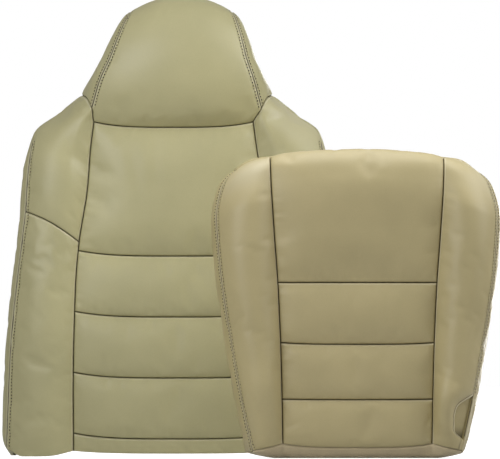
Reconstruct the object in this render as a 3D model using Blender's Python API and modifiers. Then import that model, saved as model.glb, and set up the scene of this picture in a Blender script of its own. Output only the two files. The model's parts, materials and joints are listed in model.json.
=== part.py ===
"""Two-piece leather seat cover set for a high-backed truck seat: a back cover and a cushion cover.

Each cut panel is one solid, laid between the seams that it is sewn to and then given its thickness.
In a cover's own frame x runs to the right, f forwards out of the cover and z up. Lengths are metres.
"""

import math

import bmesh
import bpy
import numpy as np
from mathutils import Matrix

# Layers and gaps
LEATHER_LAYER = 0.0060
VINYL_LAYER = 0.0040
FABRIC_LAYER = 0.0030
SLEEVE_LAYER = 0.0008
HOOK_LAYER = 0.0014
LINING_LAYER = 0.0012
SEAM_GAP = 0.0008
FIT_GAP = 0.0004

# Back cover: heights, stacked from the hem upwards
BAND_HEIGHT = 0.0406
PLEAT_HEIGHT = 0.1065
UPPER_INSERT_HEIGHT = 0.2259
HEAD_HEIGHT = 0.2120
HEM_LIFT = 0.0095
SHOULDER_SEAM_STEP = 0.0149
SHOULDER_SEAM_RISE = 0.0530
SHOULDER_DROP = 0.0310
NECK_RISE = 0.0480
SEAM_SAG = 0.0100
HEAD_TOP_BOW = 0.0110

# Back cover: half widths across the seams
INSERT_HALF_HEM = 0.1810
INSERT_HALF_WAIST = 0.1710
INSERT_HALF_TOP = 0.1400
BACK_HALF_HEM = 0.2985
BACK_HALF_WAIST = 0.2652
BACK_HALF_CORNER = 0.2512
NECK_HALF = 0.1680
HEAD_HALF_TOP = 0.0968
HEAD_LEAN = 0.0080
CHIN_LEAN = 0.0055

# Back cover: depths, measured forwards from the rear panel
GUSSET_DEPTH = 0.0860
INSERT_DEPTH = 0.0900
LUMBAR_RISE = 0.0140
NECK_DEPTH = 0.0500
HEAD_DEPTH = 0.1080
BOLSTER_RISE = 0.0180
INSERT_BOW = 0.0060
REAR_SEAM_TUCK = 0.0040
REAR_CORNER_CUT = 0.0250
REAR_HEM_LIFT = 0.0120

# Cushion cover: heights as it stands on its rear edge
SEAT_REAR_SEAM = 0.0240
SEAT_REAR_PLEAT = 0.0780
SEAT_MIDDLE_PLEAT = 0.0970
SEAT_FRONT_PLEAT = 0.1030
SEAT_FRONT_INSERT = 0.2140
SEAT_FRONT_BOW = 0.0090
SEAT_REAR_SAG = 0.0060

# Cushion cover: half widths and depths
SEAT_INSERT_HALF_REAR = 0.1285
SEAT_INSERT_HALF_FRONT = 0.1495
SEAT_HALF_REAR = 0.1800
SEAT_HALF_MIDDLE = 0.2320
SEAT_HALF_FRONT = 0.2420
SEAT_HALF_CORNER = 0.2070
SEAT_GUSSET_DEPTH = 0.1000
SEAT_INSERT_DEPTH = 0.1100
SEAT_FRONT_DEPTH = 0.0620
SEAT_BOLSTER_RISE = 0.0240
HEM_FLARE = 0.0050
NOTCH_WIDTH = 0.0270
STRIP_CORNER_LIFT = 0.0090
BINDING_RADIUS = 0.0020
LINING_SINK = 0.0060

# Pillow crowns: how far each panel swells above its seams
HEAD_CROWN = 0.0210
HEAD_SIDE_CROWN = 0.0070
SHOULDER_CROWN = 0.0080
BOLSTER_CROWN = 0.0060
UPPER_INSERT_CROWN = 0.0140
PLEAT_CROWN = 0.0090
BAND_CROWN = 0.0020
GUSSET_CROWN = 0.0105
SEAT_GUSSET_CROWN = 0.0045
BOXING_CROWN = 0.0040
REAR_HEAD_CROWN = 0.0060
SEAT_INSERT_CROWN = 0.0100

# Listing sleeves with their wires, and hem hook strips
WIRE_RADIUS = 0.0014
SLEEVE_RADIUS = WIRE_RADIUS + FIT_GAP + SLEEVE_LAYER / 2
SLEEVE_DROP = 0.0145
HOOK_LEG = 0.0140
HOOK_REACH = 0.0070
HOOK_LIP = 0.0050
HOOK_TO_ZIP = 0.0120

# Rear zips
ZIP_FROM_MIDDLE = 0.1850
ZIP_TOP = 0.2700
TAPE_WIDTH = 0.0140
TAPE_LAYER = 0.0008
BEAD_WIDTH = 0.0026
BEAD_RISE = 0.0030
BEAD_GAP = 0.0018
BEAD_TO_SLOT = 0.0013
ZIP_SLOT = BEAD_GAP + 2 * BEAD_WIDTH + 2 * BEAD_TO_SLOT
SLIDER_TO_SLOT = 0.0008
SLIDER_WIDTH = ZIP_SLOT - 2 * SLIDER_TO_SLOT
SLIDER_LENGTH = 0.0150
SLIDER_PLATE = 0.0016
SLIDER_CHAMFER = 0.0003
SLIDER_REST = 0.0420
EAR_LENGTH = 0.0040
EAR_LAYER = 0.0012
PIN_RADIUS = 0.0007
EYE_BORE_GAP = 0.0003
EYE_WALL = 0.0009
EYE_RADIUS = PIN_RADIUS + EYE_BORE_GAP + EYE_WALL
EYE_TO_PLATE = 0.0007
PIN_STAND = EYE_RADIUS + EYE_TO_PLATE
PULL_LENGTH = 0.0240
PULL_WIDTH = 0.0052
PULL_LAYER = 0.0012
PULL_CHAMFER = 0.0002

# How the two covers stand
SEAT_SIDEWAYS = 0.3100
SEAT_STAND_OFF = 0.0560
BOLSTER_REACH = (GUSSET_DEPTH + INSERT_DEPTH + LUMBAR_RISE) / 2 + BOLSTER_RISE + BOLSTER_CROWN
SEAT_AHEAD = BOLSTER_REACH + SEAT_STAND_OFF
SEAT_TURN = math.radians(1.5)

# Shares of a panel's length at which its rows lie, closer together near the seams
ACROSS_INSERT = (0, 0.05, 0.18, 0.34, 0.5, 0.66, 0.82, 0.95, 1)
ACROSS_BOLSTER = (0, 0.1, 0.3, 0.5, 0.7, 0.9, 1)
ALONG_PLEAT = (0, 0.12, 0.5, 0.88, 1)
ALONG_BAND = (0, 0.5, 1)
ALONG_NOTCH_PLEAT = (0, 0.2, 0.3, 0.48, 0.68, 0.84, 1)
ALONG_LONG = (0, 0.06, 0.2, 0.4, 0.6, 0.8, 0.94, 1)
NOTCH_SHARE = (0, 0, 0.6, 0.88, 1, 0.85, 0)
NOTCH_ROWS = len(NOTCH_SHARE)
ACROSS_GUSSET = (0, 0.12, 0.28, 0.6, 1)
GUSSET_PEAK = 0.28
GUSSET_FADE = ((0, 0.74, 0.83, 1), (1, 1, 0.25, 0.25))
BOLSTER_RUN_OUT = 0.2
LISTING_STATIONS = slice(3, -7, 2)
HOOK_STATIONS = slice(4, -6, 2)
INSERT_STATIONS = slice(len(ACROSS_BOLSTER), -len(ACROSS_BOLSTER))

CORE_MARGIN = 0.06
BACK_CORE_DEPTHS = (0.025, 0.060)
SEAT_CORE_DEPTHS = (0.0, 0.050)
SEAT_CORE_LOW = 0.060

OBJECTS = bpy.data.objects


def clear_scene():
    """Removes every object that the startup scene holds."""
    for obj in list(OBJECTS):
        OBJECTS.remove(obj)


def new_collection(name):
    collection = bpy.data.collections.new(name)
    bpy.context.scene.collection.children.link(collection)
    return collection


def new_material(name, colour, roughness, metallic=0.0):
    material = bpy.data.materials.new(name)
    material.use_nodes = True
    shader = material.node_tree.nodes["Principled BSDF"]
    shader.inputs["Base Color"].default_value = (*colour, 1.0)
    shader.inputs["Roughness"].default_value = roughness
    shader.inputs["Metallic"].default_value = metallic
    return material


clear_scene()
PARTS = new_collection("seat_cover_set")
CUTTERS = new_collection("cutters")
LEATHER = new_material("leather", (0.40, 0.36, 0.22), 0.45)
VINYL = new_material("vinyl", (0.33, 0.30, 0.19), 0.55)
FABRIC = new_material("fabric", (0.42, 0.34, 0.22), 0.95)
SLEEVE = new_material("sleeve", (0.70, 0.69, 0.64), 0.9)
STEEL = new_material("steel", (0.55, 0.55, 0.56), 0.35, 1.0)
PLASTIC = new_material("plastic", (0.03, 0.03, 0.03), 0.5)
TAPE = new_material("tape", (0.05, 0.05, 0.045), 0.9)
SLIDER_METAL = new_material("slider_metal", (0.30, 0.28, 0.24), 0.35, 1.0)


# Curves and surfaces


def spline(knots, values, at):
    """A smooth curve through the values at the knots, read at the given places."""
    knots = np.asarray(knots, float)
    values = np.asarray(values, float)
    at = np.clip(np.asarray(at, float), knots[0], knots[-1])
    slopes = np.gradient(values, knots, axis=0)
    i = np.clip(np.searchsorted(knots, at) - 1, 0, len(knots) - 2)
    span = (knots[i + 1] - knots[i])[..., None]
    t = (at - knots[i])[..., None] / span
    start = values[i] * (2 * t**3 - 3 * t**2 + 1) + slopes[i] * span * (t**3 - 2 * t**2 + t)
    end = values[i + 1] * (3 * t**2 - 2 * t**3) + slopes[i + 1] * span * (t**3 - t**2)
    return start + end


def curve_through(points, shares):
    """Points at the shares of the length of a smooth curve through the given points."""
    points = np.asarray(points, float)
    steps = np.linalg.norm(np.diff(points, axis=0), axis=1)
    knots = np.concatenate([[0], np.cumsum(steps)])
    return spline(knots, points, knots[-1] * np.asarray(shares, float))


def between(low, high, shares):
    return low + (high - low) * np.asarray(shares, float)


def joined(*runs):
    """Runs of points end to end, with each shared end kept once."""
    return np.concatenate([runs[0]] + [run[1:] for run in runs[1:]])


def mirrored(points):
    return np.asarray(points) * (-1, 1, 1)


def shares_along(line):
    steps = np.linalg.norm(np.diff(line, axis=0), axis=1)
    total = np.concatenate([[0], np.cumsum(steps)])
    return total / total[-1]


def patch(bottom, top, left, right):
    """Grid of points spanned by four boundary lines, with rows from bottom to top."""
    u = ((shares_along(bottom) + shares_along(top)) / 2)[None, :, None]
    v = ((shares_along(left) + shares_along(right)) / 2)[:, None, None]
    across = (1 - u) * left[:, None] + u * right[:, None]
    along = (1 - v) * bottom[None] + v * top[None]
    corners = (
        (1 - u) * (1 - v) * bottom[0]
        + u * (1 - v) * bottom[-1]
        + (1 - u) * v * top[0]
        + u * v * top[-1]
    )
    return across + along - corners


def crown_share(shares, peak, power):
    """How full a panel is at shares of its width, from its edges to the place where it swells most."""
    reach = np.where(shares < peak, 1 - shares / peak, (shares - peak) / (1 - peak))
    return 1 - reach**power


def swollen(grid, crown, toward, power=(2.4, 2.4), peak=0.5, fade=((0, 1), (1, 1))):
    """The grid raised along its normals, away from the core, and left in place at its edges."""
    u = (shares_along(grid[0]) + shares_along(grid[-1])) / 2
    v = (shares_along(grid[:, 0]) + shares_along(grid[:, -1])) / 2
    fullness = crown_share(v, 0.5, power[1]) * np.interp(v, *fade)
    rise = np.outer(fullness, crown_share(u, peak, power[0]))
    normal = np.cross(np.gradient(grid, axis=1), np.gradient(grid, axis=0))
    normal /= np.linalg.norm(normal, axis=2, keepdims=True)
    if (normal * toward(grid)).sum() > 0:
        normal = -normal
    return grid + crown * rise[..., None] * normal


def inset_edges(grid, free=()):
    """The grid drawn in by half a seam gap at each edge that is sewn."""
    grid = grid.copy()
    edges = {
        "bottom": (grid[0], grid[1]),
        "top": (grid[-1], grid[-2]),
        "left": (grid[:, 0], grid[:, 1]),
        "right": (grid[:, -1], grid[:, -2]),
    }
    for name, (edge, inner) in edges.items():
        if name not in free:
            step = inner - edge
            edge += SEAM_GAP / 2 * step / np.linalg.norm(step, axis=1, keepdims=True)
    return grid


# Objects


def place(obj, material, cover):
    obj.data.materials.append(material)
    obj.parent = cover
    PARTS.objects.link(obj)
    return obj


def to_object(point):
    return (point[0], -point[1], point[2])


def grid_mesh(grid):
    """A mesh of quads over a grid of points, with the vertices of each row in order."""
    rows, columns = len(grid), len(grid[0])
    bm = bmesh.new()
    bmesh.ops.create_grid(bm, x_segments=columns - 1, y_segments=rows - 1, size=1)
    for vert in bm.verts:
        column = round((vert.co.x + 1) / 2 * (columns - 1))
        row = round((vert.co.y + 1) / 2 * (rows - 1))
        vert.co = to_object(grid[row][column])
    return bm


def finish_mesh(bm, name, smooth=True):
    bmesh.ops.recalc_face_normals(bm, faces=bm.faces)
    mesh = bpy.data.meshes.new(name)
    bm.to_mesh(mesh)
    bm.free()
    if smooth:
        mesh.shade_smooth()
        mesh.set_sharp_from_angle(angle=math.radians(40))
    return OBJECTS.new(name, mesh)


def thicken(bm, layer, toward):
    """Closes an open sheet into a solid by pushing a copy of it toward the core."""
    made = bmesh.ops.extrude_face_region(bm, geom=bm.faces[:], use_keep_orig=True)
    for vert in made["geom"]:
        if isinstance(vert, bmesh.types.BMVert):
            point = np.array((vert.co.x, -vert.co.y, vert.co.z))
            vert.co = to_object(point + layer * toward(point))


def panel(name, grid, layer, toward, material, cover, free=()):
    bm = grid_mesh(inset_edges(grid, free))
    thicken(bm, layer, toward)
    return place(finish_mesh(bm, name), material, cover)


def swept_sheet(name, path, side, depth, outline, layer, material, cover):
    """A thin sheet of the given outline carried along a path, as a solid."""
    grid = [[p + a * side + b * depth for a, b in outline] for p in path]
    obj = place(finish_mesh(grid_mesh(grid), name), material, cover)
    solidify = obj.modifiers.new("layer", "SOLIDIFY")
    solidify.thickness = layer
    solidify.offset = 0
    solidify.use_even_offset = True
    return obj


def wire(name, path, radius, material, cover):
    curve = bpy.data.curves.new(name, "CURVE")
    curve.dimensions = "3D"
    curve.bevel_depth = radius
    curve.bevel_resolution = 2
    curve.use_fill_caps = True
    run = curve.splines.new("POLY")
    run.points.add(len(path) - 1)
    for point, place_at in zip(run.points, path):
        point.co = (*to_object(place_at), 1)
    return place(OBJECTS.new(name, curve), material, cover)


def listing(label, path, side, depth, cover):
    """A folded fabric sleeve that hangs from a seam, and the wire in its fold."""
    turn = np.radians(np.linspace(0, 180, 5))
    fold = [(SLEEVE_RADIUS * math.cos(a), SLEEVE_DROP + SLEEVE_RADIUS * math.sin(a)) for a in turn]
    lead = SLEEVE_DROP - 2 * SLEEVE_RADIUS
    mouth = SLEEVE_LAYER / 2 + FIT_GAP / 2
    outline = [(mouth, FIT_GAP), (SLEEVE_RADIUS, lead), *fold, (-SLEEVE_RADIUS, lead), (-mouth, FIT_GAP)]
    swept_sheet(f"{label}_sleeve", path, side, depth, outline, SLEEVE_LAYER, SLEEVE, cover)
    wire(f"{label}_wire", path + SLEEVE_DROP * depth, WIRE_RADIUS, STEEL, cover)


def hook_strip(name, path, inward, up, cover):
    """A hem strip: a flat leg against the layer, and a hook that turns in and up."""
    bend = HOOK_REACH / 5
    outline = [
        (0, HOOK_LEG + bend),
        (0, 2 * bend),
        (bend, bend),
        (HOOK_REACH - bend, bend),
        (HOOK_REACH, 2 * bend),
        (HOOK_REACH, 2 * bend + HOOK_LIP),
    ]
    swept_sheet(name, path, inward, up, outline, HOOK_LAYER, PLASTIC, cover)


def box_mesh(name, size, centre, bevel=0.0):
    bm = bmesh.new()
    made = bmesh.ops.create_cube(bm, size=1)
    bmesh.ops.scale(bm, vec=size, verts=made["verts"])
    bmesh.ops.translate(bm, vec=centre, verts=made["verts"])
    if bevel:
        bmesh.ops.bevel(bm, geom=bm.edges[:], offset=bevel, segments=1, affect="EDGES")
    return finish_mesh(bm, name, smooth=False)


def rod_mesh(name, radius, length, centre, sides=12):
    """A rod along x."""
    bm = bmesh.new()
    bmesh.ops.create_cone(
        bm, cap_ends=True, segments=sides, radius1=radius, radius2=radius, depth=length
    )
    bmesh.ops.rotate(bm, verts=bm.verts, matrix=Matrix.Rotation(math.pi / 2, 3, "Y"))
    bmesh.ops.translate(bm, vec=centre, verts=bm.verts)
    return finish_mesh(bm, name)


def combine(target, others, operation):
    """Joins or cuts the target with helper objects that are kept out of the part."""
    for other in others:
        other.hide_render = True
        other.display_type = "WIRE"
        other.parent = target.parent
        CUTTERS.objects.link(other)
        boolean = target.modifiers.new(other.name, "BOOLEAN")
        boolean.operation = operation
        boolean.solver = "EXACT"
        boolean.object = other


def empty(name, parent=None, location=(0, 0, 0), turn=0.0):
    obj = OBJECTS.new(name, None)
    obj.parent = parent
    obj.location = location
    obj.rotation_euler = (0, 0, turn)
    PARTS.objects.link(obj)
    return obj


SET = empty("seat_cover_set")
BACK = empty("back_cover", SET)
SEAT = empty("seat_cover", SET, (SEAT_SIDEWAYS, -SEAT_AHEAD, 0), SEAT_TURN)

# Back cover: seam heights

PLEAT_LEVELS = [BAND_HEIGHT + i * PLEAT_HEIGHT for i in range(4)]
YOKE_LEVEL = PLEAT_LEVELS[-1]
SHOULDER_SEAM_LEVEL = YOKE_LEVEL + SHOULDER_SEAM_STEP
INSERT_TOP = YOKE_LEVEL + UPPER_INSERT_HEIGHT
CORNER_LEVEL = INSERT_TOP - SHOULDER_DROP
NECK_LEVEL = INSERT_TOP + NECK_RISE
HEAD_TOP = INSERT_TOP + HEAD_HEIGHT
SIDE_SEAM_LEVEL = SHOULDER_SEAM_LEVEL + SHOULDER_SEAM_RISE

# Back cover: the seam between insert and bolster, by height

INSERT_KNOTS = (
    HEM_LIFT,
    PLEAT_LEVELS[1] + PLEAT_HEIGHT / 2,
    SHOULDER_SEAM_LEVEL,
    (SHOULDER_SEAM_LEVEL + INSERT_TOP) / 2,
    INSERT_TOP,
)
INSERT_SHAPE = (
    (INSERT_HALF_HEM, INSERT_DEPTH),
    (INSERT_HALF_HEM - 0.001, INSERT_DEPTH + LUMBAR_RISE),
    (INSERT_HALF_WAIST, INSERT_DEPTH + LUMBAR_RISE / 2),
    ((INSERT_HALF_WAIST + INSERT_HALF_TOP) / 2 - 0.002, INSERT_DEPTH + LUMBAR_RISE / 4),
    (INSERT_HALF_TOP, INSERT_DEPTH),
)


def insert_seam(levels):
    """Points of the right-hand seam between insert and bolster at the given heights."""
    levels = np.asarray(levels, float)
    shape = spline(INSERT_KNOTS, INSERT_SHAPE, levels)
    return np.column_stack([shape, levels])


BAND_RAIL = insert_seam(between(HEM_LIFT, BAND_HEIGHT, ALONG_BAND))
PLEAT_RAILS = [
    insert_seam(between(low, low + PLEAT_HEIGHT, ALONG_PLEAT)) for low in PLEAT_LEVELS[:3]
]
STEP_RAIL = insert_seam((YOKE_LEVEL, SHOULDER_SEAM_LEVEL))
UPPER_RAIL = insert_seam(between(SHOULDER_SEAM_LEVEL, INSERT_TOP, ALONG_LONG))
LOWER_RAIL = joined(BAND_RAIL, *PLEAT_RAILS, STEP_RAIL)

# Back cover: the outer seam, from the hem round the shoulder to the neck

HEM_CORNER_LIFT = HEM_LIFT * 1.5
OUTER_WAIST = (BACK_HALF_WAIST, GUSSET_DEPTH, SIDE_SEAM_LEVEL)
NECK_POINT = (NECK_HALF, NECK_DEPTH, NECK_LEVEL)
OUTER_LOWER = curve_through(
    (
        (BACK_HALF_HEM, GUSSET_DEPTH, HEM_CORNER_LIFT),
        (BACK_HALF_HEM * 0.72 + BACK_HALF_WAIST * 0.28, GUSSET_DEPTH + 0.003, SIDE_SEAM_LEVEL * 0.5),
        OUTER_WAIST,
    ),
    (LOWER_RAIL[:, 2] - HEM_LIFT) / (SHOULDER_SEAM_LEVEL - HEM_LIFT),
)
OUTER_UPPER = curve_through(
    (
        OUTER_WAIST,
        (BACK_HALF_WAIST - 0.004, GUSSET_DEPTH - 0.004, SIDE_SEAM_LEVEL + 0.066),
        (BACK_HALF_CORNER + 0.004, GUSSET_DEPTH - 0.012, CORNER_LEVEL - 0.014),
        (BACK_HALF_CORNER - 0.0025, GUSSET_DEPTH - 0.028, CORNER_LEVEL + 0.0135),
        ((BACK_HALF_CORNER + NECK_HALF) / 2 + 0.003, NECK_DEPTH, (CORNER_LEVEL + NECK_LEVEL) / 2 + 0.003),
        NECK_POINT,
    ),
    (0, 0.12, 0.28, 0.42, 0.55, 0.72, 0.88, 1),
)
OUTER_SEAM = joined(OUTER_LOWER, OUTER_UPPER)

# Back cover: cross seams


def bolster_line(inner, outer, shares, rise, bow=0.0):
    """A line across a bolster that follows its rounded section."""
    s = np.asarray(shares, float)[:, None]
    line = (1 - s) * np.asarray(inner) + s * np.asarray(outer)
    line[:, 1] += rise * (1 - np.abs(2 * s[:, 0] - 1) ** 2.2)
    line[:, 2] += bow * np.sin(np.pi * s[:, 0])
    return line


def insert_line(end, shares, sag, bow):
    """A seam across the insert between two mirrored ends, sagging towards its middle."""
    x = end[0] * (2 * np.asarray(shares, float) - 1)
    reach = np.abs(x / end[0])
    return np.column_stack(
        [x, end[1] + bow * (1 - reach**2), end[2] - sag * (1 - reach**3.6)]
    )


SHOULDER_SEAM = bolster_line(UPPER_RAIL[0], OUTER_WAIST, ACROSS_BOLSTER, BOLSTER_RISE, 0.006)
BOLSTER_HEM = bolster_line(LOWER_RAIL[0], OUTER_LOWER[0], ACROSS_BOLSTER, BOLSTER_RISE - 0.004)
HEM_SHARES = (0, 0.3, 0.55, 0.8, 1)
HEM_RISES = np.array((HEM_LIFT, 0.15 * HEM_LIFT, 0, 0.05 * HEM_LIFT, HEM_CORNER_LIFT))
BOLSTER_HEM[:, 2] = np.maximum(spline(HEM_SHARES, HEM_RISES[:, None], ACROSS_BOLSTER)[:, 0], 0)

HEAD_CORNER = (INSERT_HALF_TOP + 0.009, INSERT_DEPTH + 0.008, INSERT_TOP + NECK_RISE / 2)
NECK_SEAM_FRONT = curve_through((UPPER_RAIL[-1], HEAD_CORNER), (0, 1 / 3, 2 / 3, 1))
NECK_SEAM_SIDE = curve_through(
    (
        HEAD_CORNER,
        ((HEAD_CORNER[0] + NECK_HALF) / 2 - 0.002, HEAD_CORNER[1] - 0.012, NECK_LEVEL - 0.010),
        NECK_POINT,
    ),
    (0, 1 / 3, 2 / 3, 1),
)
NECK_REAR = (NECK_HALF - REAR_SEAM_TUCK / 2, 0, NECK_LEVEL - REAR_SEAM_TUCK)
NECK_SEAM_REAR = curve_through((NECK_POINT, NECK_REAR), ACROSS_GUSSET)

HEAD_SEAM = curve_through(
    (
        HEAD_CORNER,
        (HEAD_HALF_TOP + 0.037, HEAD_DEPTH, INSERT_TOP + 0.36 * HEAD_HEIGHT),
        (HEAD_HALF_TOP + 0.023, HEAD_DEPTH + 0.001, INSERT_TOP + 0.525 * HEAD_HEIGHT),
        (HEAD_HALF_TOP + 0.012, HEAD_DEPTH - 0.005, INSERT_TOP + 0.69 * HEAD_HEIGHT),
        (HEAD_HALF_TOP, HEAD_DEPTH - 0.022, HEAD_TOP - 0.033),
        (HEAD_HALF_TOP - 0.007, HEAD_DEPTH - 0.046, HEAD_TOP - 0.019),
        (HEAD_HALF_TOP - 0.010, HEAD_DEPTH - 0.075, HEAD_TOP - 0.018),
        (HEAD_HALF_TOP - 0.013, 0, HEAD_TOP - 0.028),
    ),
    np.linspace(0, 1, 10),
)
HEAD_REAR_SEAM = curve_through(
    (
        NECK_REAR,
        (NECK_HALF - 0.036, 0, INSERT_TOP + 0.355 * HEAD_HEIGHT),
        (HEAD_HALF_TOP + 0.020, 0, INSERT_TOP + 0.53 * HEAD_HEIGHT),
        (HEAD_HALF_TOP + 0.010, 0, INSERT_TOP + 0.71 * HEAD_HEIGHT),
        (HEAD_HALF_TOP - 0.008, 0, HEAD_TOP - 0.036),
    ),
    np.linspace(0, 1, 10),
)
HEAD_TOP_SEAM = insert_line(HEAD_SEAM[-1], ACROSS_INSERT, 0, 0)
HEAD_TOP_SEAM[:, 2] += HEAD_TOP_BOW * (1 - (2 * np.array(ACROSS_INSERT) - 1) ** 2)
CHIN_SEAM = insert_line(UPPER_RAIL[-1], ACROSS_INSERT, SEAM_SAG, INSERT_BOW)

# Back cover: the rear outline

REAR_SEAM = OUTER_SEAM - (REAR_SEAM_TUCK, 0, REAR_SEAM_TUCK / 2)
REAR_SEAM[:, 1] = 0
REAR_HEM_DROP = HEM_CORNER_LIFT - REAR_SEAM_TUCK / 2
REAR_SEAM[:, 2] -= REAR_HEM_DROP * np.clip(1 - shares_along(OUTER_SEAM) * 6, 0, 1)
REAR_SEAM[-1] = NECK_REAR

OUTLINE_LEVELS = np.concatenate([OUTER_SEAM[:, 2], HEAD_REAR_SEAM[1:, 2]])
OUTLINE_HALVES = np.concatenate([OUTER_SEAM[:, 0], HEAD_REAR_SEAM[1:, 0]])


def toward_core(points, half, depths, low, high):
    """Unit directions from points to the nearest place in a core well inside the cover."""
    core = np.array(points, float)
    core[..., 0] = np.clip(core[..., 0], -half, half)
    core[..., 1] = np.clip(core[..., 1], *depths)
    core[..., 2] = np.clip(core[..., 2], low, high)
    step = core - points
    return step / np.linalg.norm(step, axis=-1, keepdims=True)


def into_back(points):
    half = np.interp(points[..., 2], OUTLINE_LEVELS, OUTLINE_HALVES) - CORE_MARGIN
    return toward_core(points, np.maximum(half, 0.02), BACK_CORE_DEPTHS, -1, HEAD_TOP - CORE_MARGIN)


def smooth_step(low, high, values):
    share = np.clip((values - low) / (high - low), 0, 1)
    return share**2 * (3 - 2 * share)


def leaned(points):
    """The points with the head moved to one side and the seam under its chin to the other."""
    side, level = np.abs(points[..., 0]), points[..., 2]
    head = smooth_step(NECK_LEVEL, HEAD_TOP, level)
    chin = smooth_step(SIDE_SEAM_LEVEL, CORNER_LEVEL, level) - smooth_step(INSERT_TOP, HEAD_CORNER[2], level)
    chin = chin * (1 - smooth_step(INSERT_HALF_TOP, BACK_HALF_CORNER, side))
    moved = np.array(points, float)
    moved[..., 0] += HEAD_LEAN * head - CHIN_LEAN * chin
    return moved


def back_panel(
    name, grid, crown, power=(2.4, 2.4), free=(), layer=LEATHER_LAYER, material=LEATHER, **shape
):
    grid = leaned(swollen(grid, crown, into_back, power, **shape))
    return panel(name, grid, layer, into_back, material, BACK, free)


def both_sides(build):
    """Builds a piece on the right and its mirror image on the left."""
    build("right", np.asarray)
    build("left", mirrored)


# Back cover: insert, from the hem to the yoke

HEM_LINE = insert_line(LOWER_RAIL[0], ACROSS_INSERT, HEM_LIFT / 2, INSERT_BOW)
PLEAT_LINES = [
    insert_line(insert_seam([level])[0], ACROSS_INSERT, SEAM_SAG, INSERT_BOW) for level in PLEAT_LEVELS
]
INSERT_LINES = [HEM_LINE, *PLEAT_LINES, CHIN_SEAM]
INSERT_RAILS = [BAND_RAIL, *PLEAT_RAILS, joined(STEP_RAIL, UPPER_RAIL)]
INSERT_NAMES = ("hem_band", "back_pleat_bottom", "back_pleat_middle", "back_pleat_top", "upper_insert")
INSERT_CROWNS = (BAND_CROWN, PLEAT_CROWN, PLEAT_CROWN, PLEAT_CROWN, UPPER_INSERT_CROWN)
for i, name in enumerate(INSERT_NAMES):
    rail = INSERT_RAILS[i]
    grid = patch(INSERT_LINES[i], INSERT_LINES[i + 1], mirrored(rail), rail)
    free = ("bottom",) if i == 0 else ()
    back_panel(name, grid, INSERT_CROWNS[i], (6, 2.6), free)

# Back cover: bolsters, shoulders, gussets and head sides

GUSSET_HEM = curve_through((OUTER_SEAM[0], REAR_SEAM[0]), ACROSS_GUSSET)
HEAD_SIDE_SHARES = shares_along(joined(NECK_SEAM_SIDE, NECK_SEAM_REAR))
HEAD_SIDE_TOP = curve_through((HEAD_SEAM[-1], HEAD_REAR_SEAM[-1]), HEAD_SIDE_SHARES)


def build_bolster(side, flip):
    grid = patch(BOLSTER_HEM, SHOULDER_SEAM, LOWER_RAIL, OUTER_LOWER)
    back_panel(f"side_bolster_{side}", flip(grid), BOLSTER_CROWN, (2.4, 4), ("bottom",))


def build_shoulder(side, flip):
    neck = joined(NECK_SEAM_FRONT, NECK_SEAM_SIDE)
    grid = patch(SHOULDER_SEAM, neck, UPPER_RAIL, OUTER_UPPER)
    back_panel(f"shoulder_{side}", flip(grid), SHOULDER_CROWN)


def build_gusset(side, flip):
    grid = patch(GUSSET_HEM, NECK_SEAM_REAR, OUTER_SEAM, REAR_SEAM)
    shape = dict(peak=GUSSET_PEAK, fade=GUSSET_FADE)
    back_panel(f"back_gusset_{side}", flip(grid), GUSSET_CROWN, (2, 24), ("bottom",), **shape)


def build_head_side(side, flip):
    neck = joined(NECK_SEAM_SIDE, NECK_SEAM_REAR)
    grid = patch(neck, HEAD_SIDE_TOP, HEAD_SEAM, HEAD_REAR_SEAM)
    back_panel(f"head_side_{side}", flip(grid), HEAD_SIDE_CROWN)


for build in (build_bolster, build_shoulder, build_gusset, build_head_side):
    both_sides(build)

HEAD_RAIL = joined(NECK_SEAM_FRONT, HEAD_SEAM)
back_panel(
    "head_front",
    patch(CHIN_SEAM, HEAD_TOP_SEAM, mirrored(HEAD_RAIL), HEAD_RAIL),
    HEAD_CROWN,
    (2.2, 4),
)

# Back cover: rear

NECK_SHARES = (0, 0.02, *ACROSS_INSERT[1:-1], 0.98, 1)
NECK_LINE = insert_line(NECK_REAR, NECK_SHARES, 0, 0)
REAR_HEAD_TOP = np.concatenate(
    [mirrored(HEAD_REAR_SEAM[-1:]), HEAD_TOP_SEAM, HEAD_REAR_SEAM[-1:]]
)
back_panel(
    "rear_head_panel",
    patch(NECK_LINE, REAR_HEAD_TOP, mirrored(HEAD_REAR_SEAM), HEAD_REAR_SEAM),
    REAR_HEAD_CROWN,
    layer=VINYL_LAYER,
    material=VINYL,
)


def inset_outline(points, distance):
    """A closed flat outline moved inwards by a distance at every corner."""
    ahead = np.roll(points, -1, axis=0) - points
    behind = points - np.roll(points, 1, axis=0)
    ahead /= np.linalg.norm(ahead, axis=1, keepdims=True)
    behind /= np.linalg.norm(behind, axis=1, keepdims=True)
    along = ahead + behind
    along /= np.linalg.norm(along, axis=1, keepdims=True)
    inward = np.column_stack([-along[:, 2], np.zeros(len(points)), along[:, 0]])
    square = np.column_stack([-ahead[:, 2], ahead[:, 1], ahead[:, 0]])
    half_turn = np.maximum((inward * square).sum(axis=1), 0.5)
    return points + inward * (distance / half_turn)[:, None]


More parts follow.
